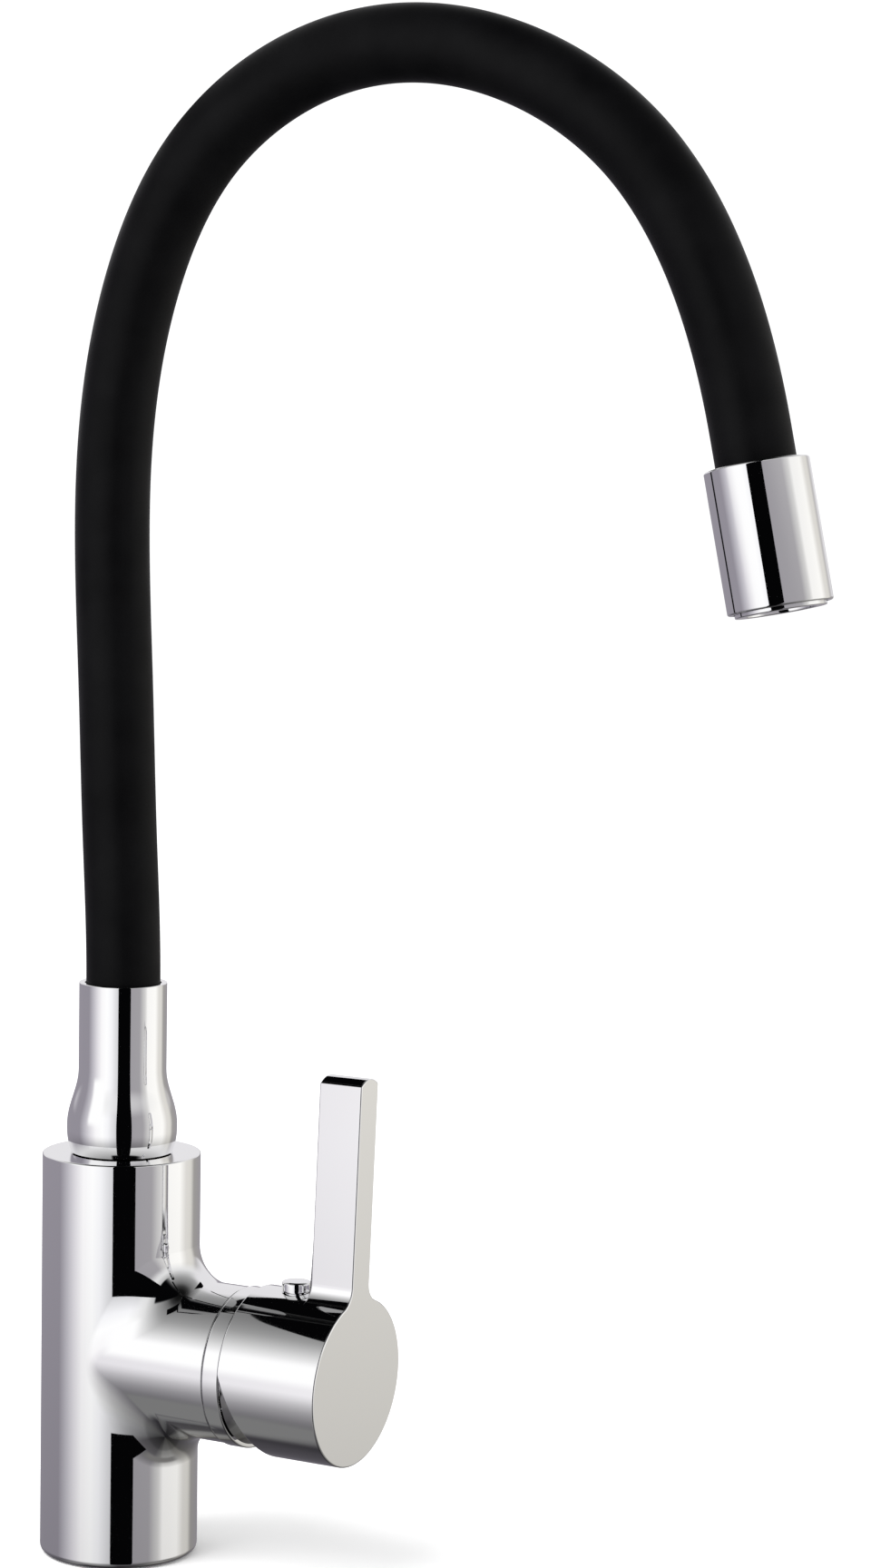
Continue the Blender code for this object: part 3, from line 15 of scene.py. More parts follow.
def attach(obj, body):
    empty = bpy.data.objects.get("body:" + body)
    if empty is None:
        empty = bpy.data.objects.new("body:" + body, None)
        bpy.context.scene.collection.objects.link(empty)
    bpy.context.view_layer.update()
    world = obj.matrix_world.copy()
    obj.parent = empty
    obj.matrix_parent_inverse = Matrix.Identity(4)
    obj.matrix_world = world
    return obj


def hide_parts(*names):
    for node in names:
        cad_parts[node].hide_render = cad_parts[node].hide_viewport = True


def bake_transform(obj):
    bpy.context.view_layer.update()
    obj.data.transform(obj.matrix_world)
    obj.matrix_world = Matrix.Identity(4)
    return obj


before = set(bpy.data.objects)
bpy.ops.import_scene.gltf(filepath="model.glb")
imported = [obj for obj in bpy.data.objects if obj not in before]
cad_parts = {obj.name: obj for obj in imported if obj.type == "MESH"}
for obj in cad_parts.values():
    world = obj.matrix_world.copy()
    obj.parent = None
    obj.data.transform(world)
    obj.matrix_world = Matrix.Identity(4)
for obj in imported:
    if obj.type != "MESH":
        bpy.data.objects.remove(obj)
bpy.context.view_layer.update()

# Camera, fitted to the photograph. Its place is given back from the object, aside and up
CAMERA_AZIMUTH = math.radians(29.08)
CAMERA_TILT = math.radians(5.07)
CAMERA_ROLL = math.radians(0.93)
CAMERA_DISTANCE = 1.05797
CAMERA_ASIDE = 0.08965
CAMERA_HEIGHT = 0.3207
CAMERA_LENS = 84.44
CAMERA_NEAR = 0.05
CAMERA_FAR = 200.0

# Gap between neighbouring pieces, and how far a cutter runs past a face
GAP = 0.0003
CUT_OVERRUN = 0.0020

# Sizes of the body and its branch. The branch's lengths count from the body's axis
BODY_RADIUS = 0.0230
BODY_HEIGHT = 0.1180
BODY_EDGE = 0.0006
FOOT_ROUNDING = 0.0020
BRANCH_RADIUS = 0.0225
BRANCH_HEIGHT = 0.0602
BRANCH_REACH = 0.0425
BRANCH_FILLET = 0.0090
BRANCH_SIDE_FILLET = 0.0250
BRANCH_EDGE = 0.0003
PLATE_RADIUS = 0.0192
PLATE_THICKNESS = 0.0050
CAVITY_RADIUS = 0.0183
CAVITY_HEIGHT = 0.0280
CHAMBER_RADIUS = 0.0177
CHAMBER_FLOOR = 0.0030
NUT_BORE_RADIUS = 0.0198
NUT_BORE_DEPTH = 0.0080
SOCKET_RADIUS = 0.0115
SOCKET_FLOOR = 0.0960
INLET_RADIUS = 0.0043
INLET_X = -0.0060
INLET_Y = 0.00934
STUD_RADIUS = 0.0034
STUD_X = 0.0120
STUD_DEPTH = 0.0100

# Sizes of the trim ring, its dome, the handle and the plug
RING_RADIUS = 0.0229
RING_WIDTH = 0.0054
RING_WALL = 0.0020
RING_ROUNDING = 0.0005
PIVOT_X = 0.0300
DOME_RADIUS = 0.02829
DOME_WALL = 0.0014
DOME_MOUTH_RADIUS = 0.0136
HANDLE_RADIUS = 0.0240
HANDLE_BORE = 0.0218
HANDLE_REAR = 0.0485
HANDLE_FACE = 0.0803
HANDLE_FACE_WALL = 0.0031
HANDLE_LEAN = math.radians(2.0)
HANDLE_EDGE = 0.0004
LIFT_ANGLE = math.radians(20.0)
HUB_RADIUS = 0.0076
LEVER_WIDTH = 0.0094
LEVER_REACH = 0.0871
LEVER_CROWN = 0.0018
LEVER_DEPTH = 0.0137
LEVER_FILLET = 0.0060
LEVER_EDGE = 0.0005
STEM_WIDTH = 0.0086
STEM_THICKNESS = 0.0066
STEM_FRONT = 0.0730
SCREW_X = 0.06001
SCREW_HOLE_RADIUS = 0.0027
PLUG_HOLE_RADIUS = 0.0037
PLUG_BOSS_WALL = 0.0009
PLUG_STEM_RADIUS = 0.0034
PLUG_STEM_LENGTH = 0.0040
PLUG_HEAD_RADIUS = 0.0042
PLUG_HEAD_HEIGHT = 0.0026
PLUG_HEAD_ROUNDING = 0.0009

# Middle of the fillet between cap and lever, and the angle at which it leaves the cap
SWEEP_Y = LEVER_WIDTH / 2 + LEVER_FILLET
SWEEP_Z = math.sqrt((HANDLE_RADIUS + LEVER_FILLET) ** 2 - SWEEP_Y ** 2)
LEVER_FOOT = math.atan2(SWEEP_Z, SWEEP_Y)

# How far the cap's straight rear stands from the pivot, and the height over the branch's axis
# below which the rear is slanted
LIFT_REACH = HANDLE_REAR - PIVOT_X
CREASE_RISE = LIFT_REACH * math.tan(LIFT_ANGLE / 2)

# Sizes of the slip ring and the bell
SLIP_RING_BORE = 0.0093
SLIP_RING_RADIUS = 0.0129
SLIP_RING_THICKNESS = 0.0008
SLIP_RING_EDGE = 0.00015
BELL_TOP = 0.1678
BELL_FOOT = 0.1183
BELL_RECESS = 0.1194
BELL_SLEEVE_RADIUS = 0.01275
BELL_FLARE = 0.00325
BELL_FOOT_INSET = 0.0012
BELL_BULGE = 0.1250
BELL_SHOULDER = 0.1262
BELL_WAIST = 0.1425
BELL_EDGE = 0.0003
BELL_NECK_RADIUS = 0.0093
BELL_BORE_RADIUS = 0.01105
HOSE_SEAT = 0.1408

# Hose and the route of its middle line, as shares of the spout's reach and rise
HOSE_RADIUS = 0.01075
SLEEVE_BORE_RADIUS = 0.0066
SLEEVE_START = 0.0103
SPOUT_REACH = 0.1967
SPOUT_RISE = 0.2652
HOSE_ROUTE_SHARES = (
    (0.0, 0.0),
    (-0.009, 0.166),
    (-0.018, 0.327),
    (-0.026, 0.472),
    (-0.020, 0.607),
    (0.026, 0.765),
    (0.117, 0.888),
    (0.309, 0.983),
    (0.461, 1.000),
    (0.666, 0.963),
    (0.823, 0.879),
    (0.924, 0.763),
    (0.985, 0.626),
    (1.000, 0.575),
)
HOSE_JOINT_SHARES = (0.15, 0.325, 0.50, 0.675, 0.85)
HOSE_STEP = 0.0020

# Sizes of the outlet and its aerator. Depths count down from the outlet's top
OUTLET_LEAN = math.radians(12.0)
OUTLET_RADIUS = 0.0140
OUTLET_BORE_RADIUS = 0.0125
OUTLET_LENGTH = 0.0380
OUTLET_MOUTH_DEPTH = 0.0080
OUTLET_MOUTH_RADIUS = 0.01105
OUTLET_ROUNDING = 0.0006
AERATOR_RADIUS = 0.0122
AERATOR_BORE_RADIUS = 0.0104
AERATOR_TOP_DEPTH = 0.0265
AERATOR_END_DEPTH = 0.0390
AERATOR_LIP_WIDTH = 0.0011
AERATOR_LIP_HEIGHT = 0.0014
AERATOR_EDGE = 0.0003
INSERT_RADIUS = 0.0101
INSERT_TOP_DEPTH = 0.0277
INSERT_END_DEPTH = 0.0373
INSERT_PITCH = 0.0037
INSERT_HOLE_RADIUS = 0.0009
INSERT_CHAMFER = 0.0003
INSERT_HOLES_BY_RING = (1, 6, 12)

# Fineness of the surfaces
SIDES = 160
SMALL_SIDES = 96
HOSE_SIDES = 72
HUB_SIDES = 64
BORE_SIDES = 48
HOLE_SIDES = 24
FILLET_STEPS = 14
EDGE_STEPS = 4
ROUNDING_STEPS = 8
DOME_STEPS = 12
LEVER_FILLET_STEPS = 16
LEVER_SIDE_STEPS = 24
LEVER_CROWN_STEPS = 12
SHOULDER_STEPS = 28
BULGE_STEPS = 12
CURVE_STEPS = 48
MERGE_DISTANCE = 1e-6
SHARP_ANGLE = math.radians(28.0)
HOSE_SHARP_ANGLE = math.radians(50)
SHADING_WEIGHT = 80

# Where pieces that are turned about Z are laid
AT_BRANCH = Matrix.Translation((0.0, 0.0, BRANCH_HEIGHT)) @ Matrix.Rotation(math.pi / 2, 4, "Y")
AT_SCREW = Matrix.Translation((SCREW_X, 0.0, BRANCH_HEIGHT))
HOSE_END = (
    HOSE_ROUTE_SHARES[-1][0] * SPOUT_REACH,
    0.0,
    BELL_TOP + HOSE_ROUTE_SHARES[-1][1] * SPOUT_RISE,
)
AT_OUTLET = Matrix.Translation(HOSE_END) @ Matrix.Rotation(-OUTLET_LEAN, 4, "Y")


# Geometry


def evenly(start, end, steps):
    """Numbers in even steps from start to end, both included."""
    return [start + (end - start) * i / steps for i in range(steps + 1)]


def full_turn(count):
    """Angles in even steps once round."""
    return [2 * math.pi * k / count for k in range(count)]


def spoke(turn):
    """Unit vector at an angle from the first axis towards the second."""
    return Vector((math.cos(turn), math.sin(turn)))


def arc(centre, radius, start, end, steps=EDGE_STEPS):
    """Points round a centre, from one angle to the other."""
    turns = evenly(start, end, steps)
    return [(centre[0] + radius * math.cos(t), centre[1] + radius * math.sin(t)) for t in turns]


def rod(radius, low, high):
    """Profile of a solid round bar."""
    return [(0.0, high), (radius, high), (radius, low), (0.0, low)]


def add_object(name, data):
    """A new object in the scene, made of the data."""
    thing = bpy.data.objects.new(name, data)
    bpy.context.scene.collection.objects.link(thing)
    return thing


def mesh_piece(name, verts, faces):
    """A mesh object whose doubled points are merged and whose faces point outwards."""
    mesh = bpy.data.meshes.new(name)
    mesh.from_pydata([tuple(v) for v in verts], [], faces)
    bm = bmesh.new()
    bm.from_mesh(mesh)
    bmesh.ops.remove_doubles(bm, verts=bm.verts, dist=MERGE_DISTANCE)
    bmesh.ops.recalc_face_normals(bm, faces=bm.faces)
    bm.to_mesh(mesh)
    bm.free()
    return add_object(name, mesh)


def bridged(rows, closed=True):
    """Quads between neighbouring rows, each a closed loop of points.

    Where closed, the last row is bridged to the first too.
    """
    count = len(rows[0])
    verts = [point for row in rows for point in row]
    faces = []
    pairs = list(zip(range(len(rows)), range(1, len(rows))))
    if closed:
        pairs.append((len(rows) - 1, 0))
    for low, high in pairs:
        for i in range(count):
            j = (i + 1) % count
            faces.append((low * count + i, low * count + j, high * count + j, high * count + i))
    return verts, faces


def cap_ends(verts, faces, count):
    """Adds a flat face over the first row of points and one over the last."""
    faces.append(tuple(range(count)))
    faces.append(tuple(range(len(verts) - count, len(verts))))


def turned(name, profile, lay=None, sides=SIDES):
    """A profile of (radius, height) turned about Z, then laid in its place.

    A profile that starts on the axis ends there too, and makes a solid piece.
    """
    turns = full_turn(sides)
    rows = [[(r * math.cos(t), r * math.sin(t), z) for t in turns] for r, z in profile]
    if profile[0][0] == 0.0:
        verts, faces = bridged(rows[1:-1], closed=False)
        cap_ends(verts, faces, sides)
    else:
        verts, faces = bridged(rows)
    piece = mesh_piece(name, verts, faces)
    if lay is not None:
        piece.data.transform(lay)
    return piece


def combine(piece, operation, others):
    """Cuts the other pieces out of this one, or joins them to it."""
    for other in others:
        modifier = piece.modifiers.new(operation, "BOOLEAN")
        modifier.operation = operation
        modifier.solver = "EXACT"
        modifier.object = other
    graph = bpy.context.evaluated_depsgraph_get()
    mesh = bpy.data.meshes.new_from_object(piece.evaluated_get(graph))
    piece.modifiers.clear()
    piece.data = mesh
    for other in others:
        bpy.data.objects.remove(other, do_unlink=True)
    return piece


def even_shading(piece):
    """Smooth over the small facets, sharp at real edges, and flat on the flat faces."""
    piece.data.shade_smooth()
    piece.data.set_sharp_from_angle(angle=SHARP_ANGLE)
    modifier = piece.modifiers.new("even shading", "WEIGHTED_NORMAL")
    modifier.keep_sharp = True
    modifier.weight = SHADING_WEIGHT
    return piece


def dress(piece, material, nodes, body):
    """Gives a piece its finish, hides the frame's nodes that it stands for, and sets the body it
    rides on, if any.
    """
    piece.data.materials.clear()
    piece.data.materials.append(material)
    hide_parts(*nodes)
    if body:
        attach(piece, body)


# Materials

CHROME_COLOUR = (0.90, 0.90, 0.905)

# Most of a noise's values lie between these, and are spread over the whole range
NOISE_LOW = 0.3
NOISE_HIGH = 0.7


def surface_of(material):
    return material.node_tree.nodes["Principled BSDF"]


def shader(name, colour, roughness, metallic=0.0, specular=0.5):
    material = bpy.data.materials.new(name)
    material.use_nodes = True
    surface = surface_of(material)
    surface.inputs["Base Color"].default_value = (*colour, 1.0)
    surface.inputs["Roughness"].default_value = roughness
    surface.inputs["Metallic"].default_value = metallic
    surface.inputs["Specular IOR Level"].default_value = specular
    return material


def noise(material, scale, detail=3.0, stretch=(1.0, 1.0, 1.0)):
    """A noise in the object's own space, drawn out where stretch is below one."""
    nodes = material.node_tree.nodes
    links = material.node_tree.links
    place = nodes.new("ShaderNodeTexCoord")
    mapping = nodes.new("ShaderNodeMapping")
    mapping.inputs["Scale"].default_value = stretch
    texture = nodes.new("ShaderNodeTexNoise")
    texture.inputs["Scale"].default_value = scale
    texture.inputs["Detail"].default_value = detail
    links.new(place.outputs["Object"], mapping.inputs["Vector"])
    links.new(mapping.outputs["Vector"], texture.inputs["Vector"])
    return texture.outputs["Fac"]


def roughen(material, source, low, high):
    """Varies the roughness between low and high with the noise."""
    nodes = material.node_tree.nodes
    links = material.node_tree.links
    reach = nodes.new("ShaderNodeMapRange")
    reach.inputs["From Min"].default_value = NOISE_LOW
    reach.inputs["From Max"].default_value = NOISE_HIGH
    reach.inputs["To Min"].default_value = low
    reach.inputs["To Max"].default_value = high
    links.new(source, reach.inputs["Value"])
    links.new(reach.outputs["Result"], surface_of(material).inputs["Roughness"])


def tint(material, source, dark, light):
    """Varies the colour between dark and light with the noise."""
    nodes = material.node_tree.nodes
    links = material.node_tree.links
    ramp = nodes.new("ShaderNodeValToRGB")
    ramp.color_ramp.elements[0].position = NOISE_LOW
    ramp.color_ramp.elements[0].color = (*dark, 1.0)
    ramp.color_ramp.elements[1].position = NOISE_HIGH
    ramp.color_ramp.elements[1].color = (*light, 1.0)
    links.new(source, ramp.inputs["Fac"])
    links.new(ramp.outputs["Color"], surface_of(material).inputs["Base Color"])


def bumps(material, source, strength, distance):
    """Raises the surface a little with the noise."""
    nodes = material.node_tree.nodes
    links = material.node_tree.links
    bump = nodes.new("ShaderNodeBump")
    bump.inputs["Strength"].default_value = strength
    bump.inputs["Distance"].default_value = distance
    links.new(source, bump.inputs["Height"])
    links.new(bump.outputs["Normal"], surface_of(material).inputs["Normal"])


def polished_chrome():
    material = shader("polished_chrome", CHROME_COLOUR, roughness=0.04, metallic=1.0)
    roughen(material, noise(material, 55.0), low=0.015, high=0.05)
    bumps(material, noise(material, 40.0, detail=1.0), strength=0.06, distance=0.0001)
    return material


def black_silicone():
    material = shader("black_silicone", (0.012, 0.012, 0.013), roughness=0.42, specular=0.08)
    dark, light = (0.0015, 0.0015, 0.0018), (0.003, 0.003, 0.0034)
    tint(material, noise(material, 60.0), dark, light)
    roughen(material, noise(material, 90.0), low=0.38, high=0.48)
    bumps(material, noise(material, 2600.0, detail=2.0), strength=0.25, distance=0.00004)
    return material


def black_rubber():
    material = shader("black_rubber", (0.02, 0.02, 0.02), roughness=0.65)
    dark, light = (0.014, 0.014, 0.014), (0.028, 0.028, 0.027)
    tint(material, noise(material, 300.0), dark, light)
    roughen(material, noise(material, 400.0), low=0.55, high=0.75)
    bumps(material, noise(material, 3000.0), strength=0.3, distance=0.00004)
    return material


def turned_metal(name, dark, light, low, high, stretch):
    """Bare metal with fine tool marks, its roughness between low and high."""
    material = shader(name, light, roughness=low, metallic=1.0)
    marks = noise(material, 900.0, detail=4.0, stretch=stretch)
    tint(material, marks, dark, light)
    roughen(material, marks, low, high)
    bumps(material, marks, strength=0.2, distance=0.00003)
    return material


def ceramic():
    material = shader("ceramic", (0.85, 0.84, 0.80), roughness=0.2)
    dark, light = (0.80, 0.79, 0.75), (0.88, 0.87, 0.83)
    tint(material, noise(material, 500.0), dark, light)
    roughen(material, noise(material, 700.0), low=0.14, high=0.26)
    bumps(material, noise(material, 2000.0), strength=0.05, distance=0.00003)
    return material


def moulded_plastic(name, dark, light):
    material = shader(name, light, roughness=0.42)
    tint(material, noise(material, 250.0), dark, light)
    roughen(material, noise(material, 350.0), low=0.34, high=0.52)
    bumps(material, noise(material, 1800.0), strength=0.2, distance=0.00005)
    return material


CHROME = polished_chrome()
SILICONE = black_silicone()
RUBBER = black_rubber()
BRASS = turned_metal(
    "machined_brass",
    dark=(0.62, 0.46, 0.20),
    light=(0.78, 0.61, 0.31),
    low=0.24,
    high=0.38,
    stretch=(1, 1, 0.1),
)
STEEL = turned_metal(
    "stainless",
    dark=(0.46, 0.47, 0.48),
    light=(0.62, 0.63, 0.64),
    low=0.22,
    high=0.36,
    stretch=(1, 0.1, 1),
)
CERAMIC = ceramic()
GREY_PLASTIC = moulded_plastic("grey_plastic", (0.50, 0.52, 0.55), (0.58, 0.60, 0.63))
WHITE_PLASTIC = moulded_plastic("white_plastic", (0.78, 0.79, 0.78), (0.86, 0.87, 0.86))

NODE_FINISHES = {
    "machined_brass": (
        BRASS,
        "spout_nipple cartridge_nut hose_ferrule_lower hose_ferrule_upper outlet_adaptor",
    ),
    "stainless": (
        STEEL,
        "base_plate snap_ring pivot_pin set_screw cartridge_stem "
        "hose_liner_1 hose_liner_2 hose_liner_3 hose_liner_4 hose_liner_5 hose_liner_6",
    ),
    "black_rubber": (
        RUBBER,
        "base_gasket port_seal_hot port_seal_cold port_seal_outlet "
        "o_ring_upper o_ring_lower aerator_washer",
    ),
    "ceramic": (CERAMIC, "fixed_disc moving_disc"),
    "grey_plastic": (GREY_PLASTIC, "cartridge_base disc_carrier cartridge_rotor"),
    "white_plastic": (WHITE_PLASTIC, "cartridge_housing"),
}


def finish_frame_nodes():
    """Inner pieces keep the frame's own shapes and take a finish each."""
    for slot, (material, names) in NODE_FINISHES.items():
        for name in names.split():
            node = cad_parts[name]
            node.data.materials.clear()
            node.data.materials.append(material)


# Body


def fillet_loops():
    """Loops that run from the body over the fillet to the branch's rim.

    The fillet is rolled by a ball that is largest at the branch's sides.
    """
    loops = [[] for _ in range(FILLET_STEPS + 1)]
    rims = [[] for _ in range(EDGE_STEPS + 1)]
    edge_middle = (BRANCH_RADIUS - BRANCH_EDGE, BRANCH_REACH - BRANCH_EDGE)
    edge = arc(edge_middle, BRANCH_EDGE, 0, math.pi / 2)
    for turn in full_turn(SIDES):
        fillet = BRANCH_FILLET + (BRANCH_SIDE_FILLET - BRANCH_FILLET) * math.cos(turn) ** 2
        body_ball = BODY_RADIUS + fillet
        branch_ball = BRANCH_RADIUS + fillet
        across = branch_ball * math.cos(turn)
        height = BRANCH_HEIGHT + branch_ball * math.sin(turn)
        ball = Vector((math.sqrt(body_ball**2 - across**2), across, height))
        share = BODY_RADIUS / body_ball
        on_body = Vector((ball.x * share, ball.y * share, height))
        outward = Vector((0.0, math.cos(turn), math.sin(turn)))
        on_branch = Vector((ball.x, 0.0, BRANCH_HEIGHT)) + outward * BRANCH_RADIUS
        start = (on_body - ball).normalized()
        end = (on_branch - ball).normalized()
        for step, loop in enumerate(loops):
            loop.append(ball + start.slerp(end, step / FILLET_STEPS) * fillet)
        for rim, (radius, x) in zip(rims, edge):
            rim.append(Vector((x, 0.0, BRANCH_HEIGHT)) + outward * radius)
    return loops + rims


def body_skin():
    """Body and branch as one closed skin, with the fillet lofted between them."""
    loops = fillet_loops()
    verts, faces = bridged(loops, closed=False)
    faces.append(tuple(range(len(verts) - SIDES, len(verts))))

    half = SIDES // 2
    side = math.atan2(verts[0][1], verts[0][0])
    angles = [side + (2 * math.pi - 2 * side) * i / half for i in range(1, half)]
    back = [
        Vector((BODY_RADIUS * math.cos(angle), BODY_RADIUS * math.sin(angle), BRANCH_HEIGHT))
        for angle in reversed(angles)
    ]
    crease = loops[0]
    upper = [*crease[: half + 1], *back]
    lower = [crease[0], *reversed(crease[half:]), *back]

    def level(loop, height, inset):
        share = (BODY_RADIUS - inset) / BODY_RADIUS
        return [Vector((p.x * share, p.y * share, height)) for p in loop]

    def stack(loop, edge):
        """Runs the skin from a loop to a rounded edge, and closes it with a flat face."""
        rows = [loop] + [level(loop, height, inset) for inset, height in edge]
        base = len(verts)
        more_verts, more_faces = bridged(rows, closed=False)
        verts.extend(more_verts)
        faces.extend(tuple(base + i for i in face) for face in more_faces)
        faces.append(tuple(range(len(verts) - len(loop), len(verts))))

    top_middle = (BODY_EDGE, BODY_HEIGHT - BODY_EDGE)
    foot_middle = (FOOT_ROUNDING, FOOT_ROUNDING)
    stack(upper, arc(top_middle, BODY_EDGE, math.pi, math.pi / 2))
    stack(lower, arc(foot_middle, FOOT_ROUNDING, math.pi, 1.5 * math.pi, ROUNDING_STEPS))
    return mesh_piece("faucet_body_skin", verts, faces)


def faucet_body():
    """The upright body with its branch, cut out for the pieces inside."""
    chamber = [
        (0.0, BRANCH_REACH + CUT_OVERRUN),
        (NUT_BORE_RADIUS, BRANCH_REACH + CUT_OVERRUN),
        (NUT_BORE_RADIUS, BRANCH_REACH - NUT_BORE_DEPTH),
        (CHAMBER_RADIUS, BRANCH_REACH - NUT_BORE_DEPTH),
        (CHAMBER_RADIUS, CHAMBER_FLOOR),
        (0.0, CHAMBER_FLOOR),
    ]
    plate_seat = PLATE_THICKNESS + GAP
    cavity = [
        (0.0, CAVITY_HEIGHT),
        (CAVITY_RADIUS, CAVITY_HEIGHT),
        (CAVITY_RADIUS, plate_seat),
        (PLATE_RADIUS + GAP, plate_seat),
        (PLATE_RADIUS + GAP, -CUT_OVERRUN),
        (0.0, -CUT_OVERRUN),
    ]
    socket = rod(SOCKET_RADIUS, SOCKET_FLOOR, BODY_HEIGHT + CUT_OVERRUN)
    stud = rod(STUD_RADIUS, CAVITY_HEIGHT - CUT_OVERRUN, CAVITY_HEIGHT + STUD_DEPTH)
    inlet = rod(INLET_RADIUS, CAVITY_HEIGHT - CUT_OVERRUN, BRANCH_HEIGHT)
    cutters = [
        turned("chamber_cut", chamber, AT_BRANCH),
        turned("cavity_cut", cavity),
        turned("socket_cut", socket, sides=SMALL_SIDES),
        turned("stud_cut", stud, Matrix.Translation((STUD_X, 0, 0)), BORE_SIDES),
    ]
    for side in (1, -1):
        lay = Matrix.Translation((INLET_X, side * INLET_Y, 0))
        cutters.append(turned("inlet_cut", inlet, lay, BORE_SIDES))
    skin = combine(body_skin(), "DIFFERENCE", cutters)
    dress(even_shading(skin), CHROME, ["faucet_body"], "faucet")


# Trim, handle and plug


def trim_dome():
    """The bright ring at the joint line, with the round dome that the handle tilts over."""
    ring_rear = BRANCH_REACH + GAP
    ring_front = ring_rear + RING_WIDTH
    inner_radius = DOME_RADIUS - DOME_WALL
    ring_bore = RING_RADIUS - RING_WALL
    edge = RING_ROUNDING
    outer_start = math.acos((ring_front - PIVOT_X) / DOME_RADIUS)
    outer_end = math.asin(DOME_MOUTH_RADIUS / DOME_RADIUS)
    inner_start = math.asin(DOME_MOUTH_RADIUS / inner_radius)
    inner_end = math.asin(ring_bore / inner_radius)

    def sphere_arc(radius, start, end):
        turns = evenly(start, end, DOME_STEPS)
        return [(radius * math.sin(t), PIVOT_X + radius * math.cos(t)) for t in turns]

    profile = [
        *sphere_arc(DOME_RADIUS, outer_end, outer_start),
        *arc((RING_RADIUS - edge, ring_front - edge), edge, math.pi / 2, 0.0),
        *arc((RING_RADIUS - edge, ring_rear + edge), edge, 0.0, -math.pi / 2),
        (ring_bore, ring_rear),
        *sphere_arc(inner_radius, inner_end, inner_start),
    ]
    dome = turned("trim_ring_and_dome", profile, AT_BRANCH)
    dress(even_shading(dome), CHROME, ["trim_dome"], "faucet")


def lever_outline():
    """The lever seen from the front, up one side and down the other.

    Each item is a point and its outward direction.
    """
    half = LEVER_WIDTH / 2
    side = []
    for step in range(1, LEVER_FILLET_STEPS + 1):
        out = spoke(math.pi + LEVER_FOOT * (1 - step / LEVER_FILLET_STEPS))
        side.append((Vector((SWEEP_Y, SWEEP_Z)) + out * LEVER_FILLET, -out))
    rise = LEVER_REACH - LEVER_CROWN - SWEEP_Z
    for step in range(1, LEVER_SIDE_STEPS):
        point = Vector((half, SWEEP_Z + rise * step / LEVER_SIDE_STEPS))
        side.append((point, Vector((1.0, 0.0))))

    crown_radius = (half**2 + LEVER_CROWN**2) / (2 * LEVER_CROWN)
    crown_start = math.acos(half / crown_radius)
    corner_out = Vector((1.0 + math.cos(crown_start), math.sin(crown_start)))
    corner_out = corner_out / (1.0 + math.cos(crown_start))
    side.append((Vector((half, SWEEP_Z + rise)), corner_out))
    for turn in evenly(crown_start, math.pi / 2, LEVER_CROWN_STEPS)[1:-1]:
        out = spoke(turn)
        side.append((Vector((0.0, LEVER_REACH - crown_radius)) + out * crown_radius, out))
    tip = (Vector((0.0, LEVER_REACH)), Vector((0.0, 1.0)))
    other_side = [(Vector((-p.x, p.y)), Vector((-n.x, n.y))) for p, n in reversed(side)]
    return [*side, tip, *other_side]


def handle_outline():
    """Cap and lever seen from the front: each point, its outward direction, and its root.

    A root is the point of the cap's circle that lies under a point of the lever.
    """
    outline = []
    lever = lever_outline()
    for i, (point, out) in enumerate(lever):
        turn = LEVER_FOOT + (math.pi - 2 * LEVER_FOOT) * (i + 1) / (len(lever) + 1)
        outline.append((point, out, spoke(turn) * HANDLE_RADIUS))

    crease = math.asin(CREASE_RISE / HANDLE_RADIUS)
    stops = (
        math.pi - LEVER_FOOT,
        math.pi - crease,
        2 * math.pi + crease,
        2 * math.pi + LEVER_FOOT,
    )
    turns = []
    for start, end in zip(stops, stops[1:]):
        steps = max(2, round((end - start) / (2 * math.pi) * SIDES))
        turns += evenly(start, end, steps)[:-1]
    for turn in [*turns, LEVER_FOOT]:
        out = spoke(turn)
        outline.append((out * HANDLE_RADIUS, out, out * HANDLE_RADIUS))
    return outline


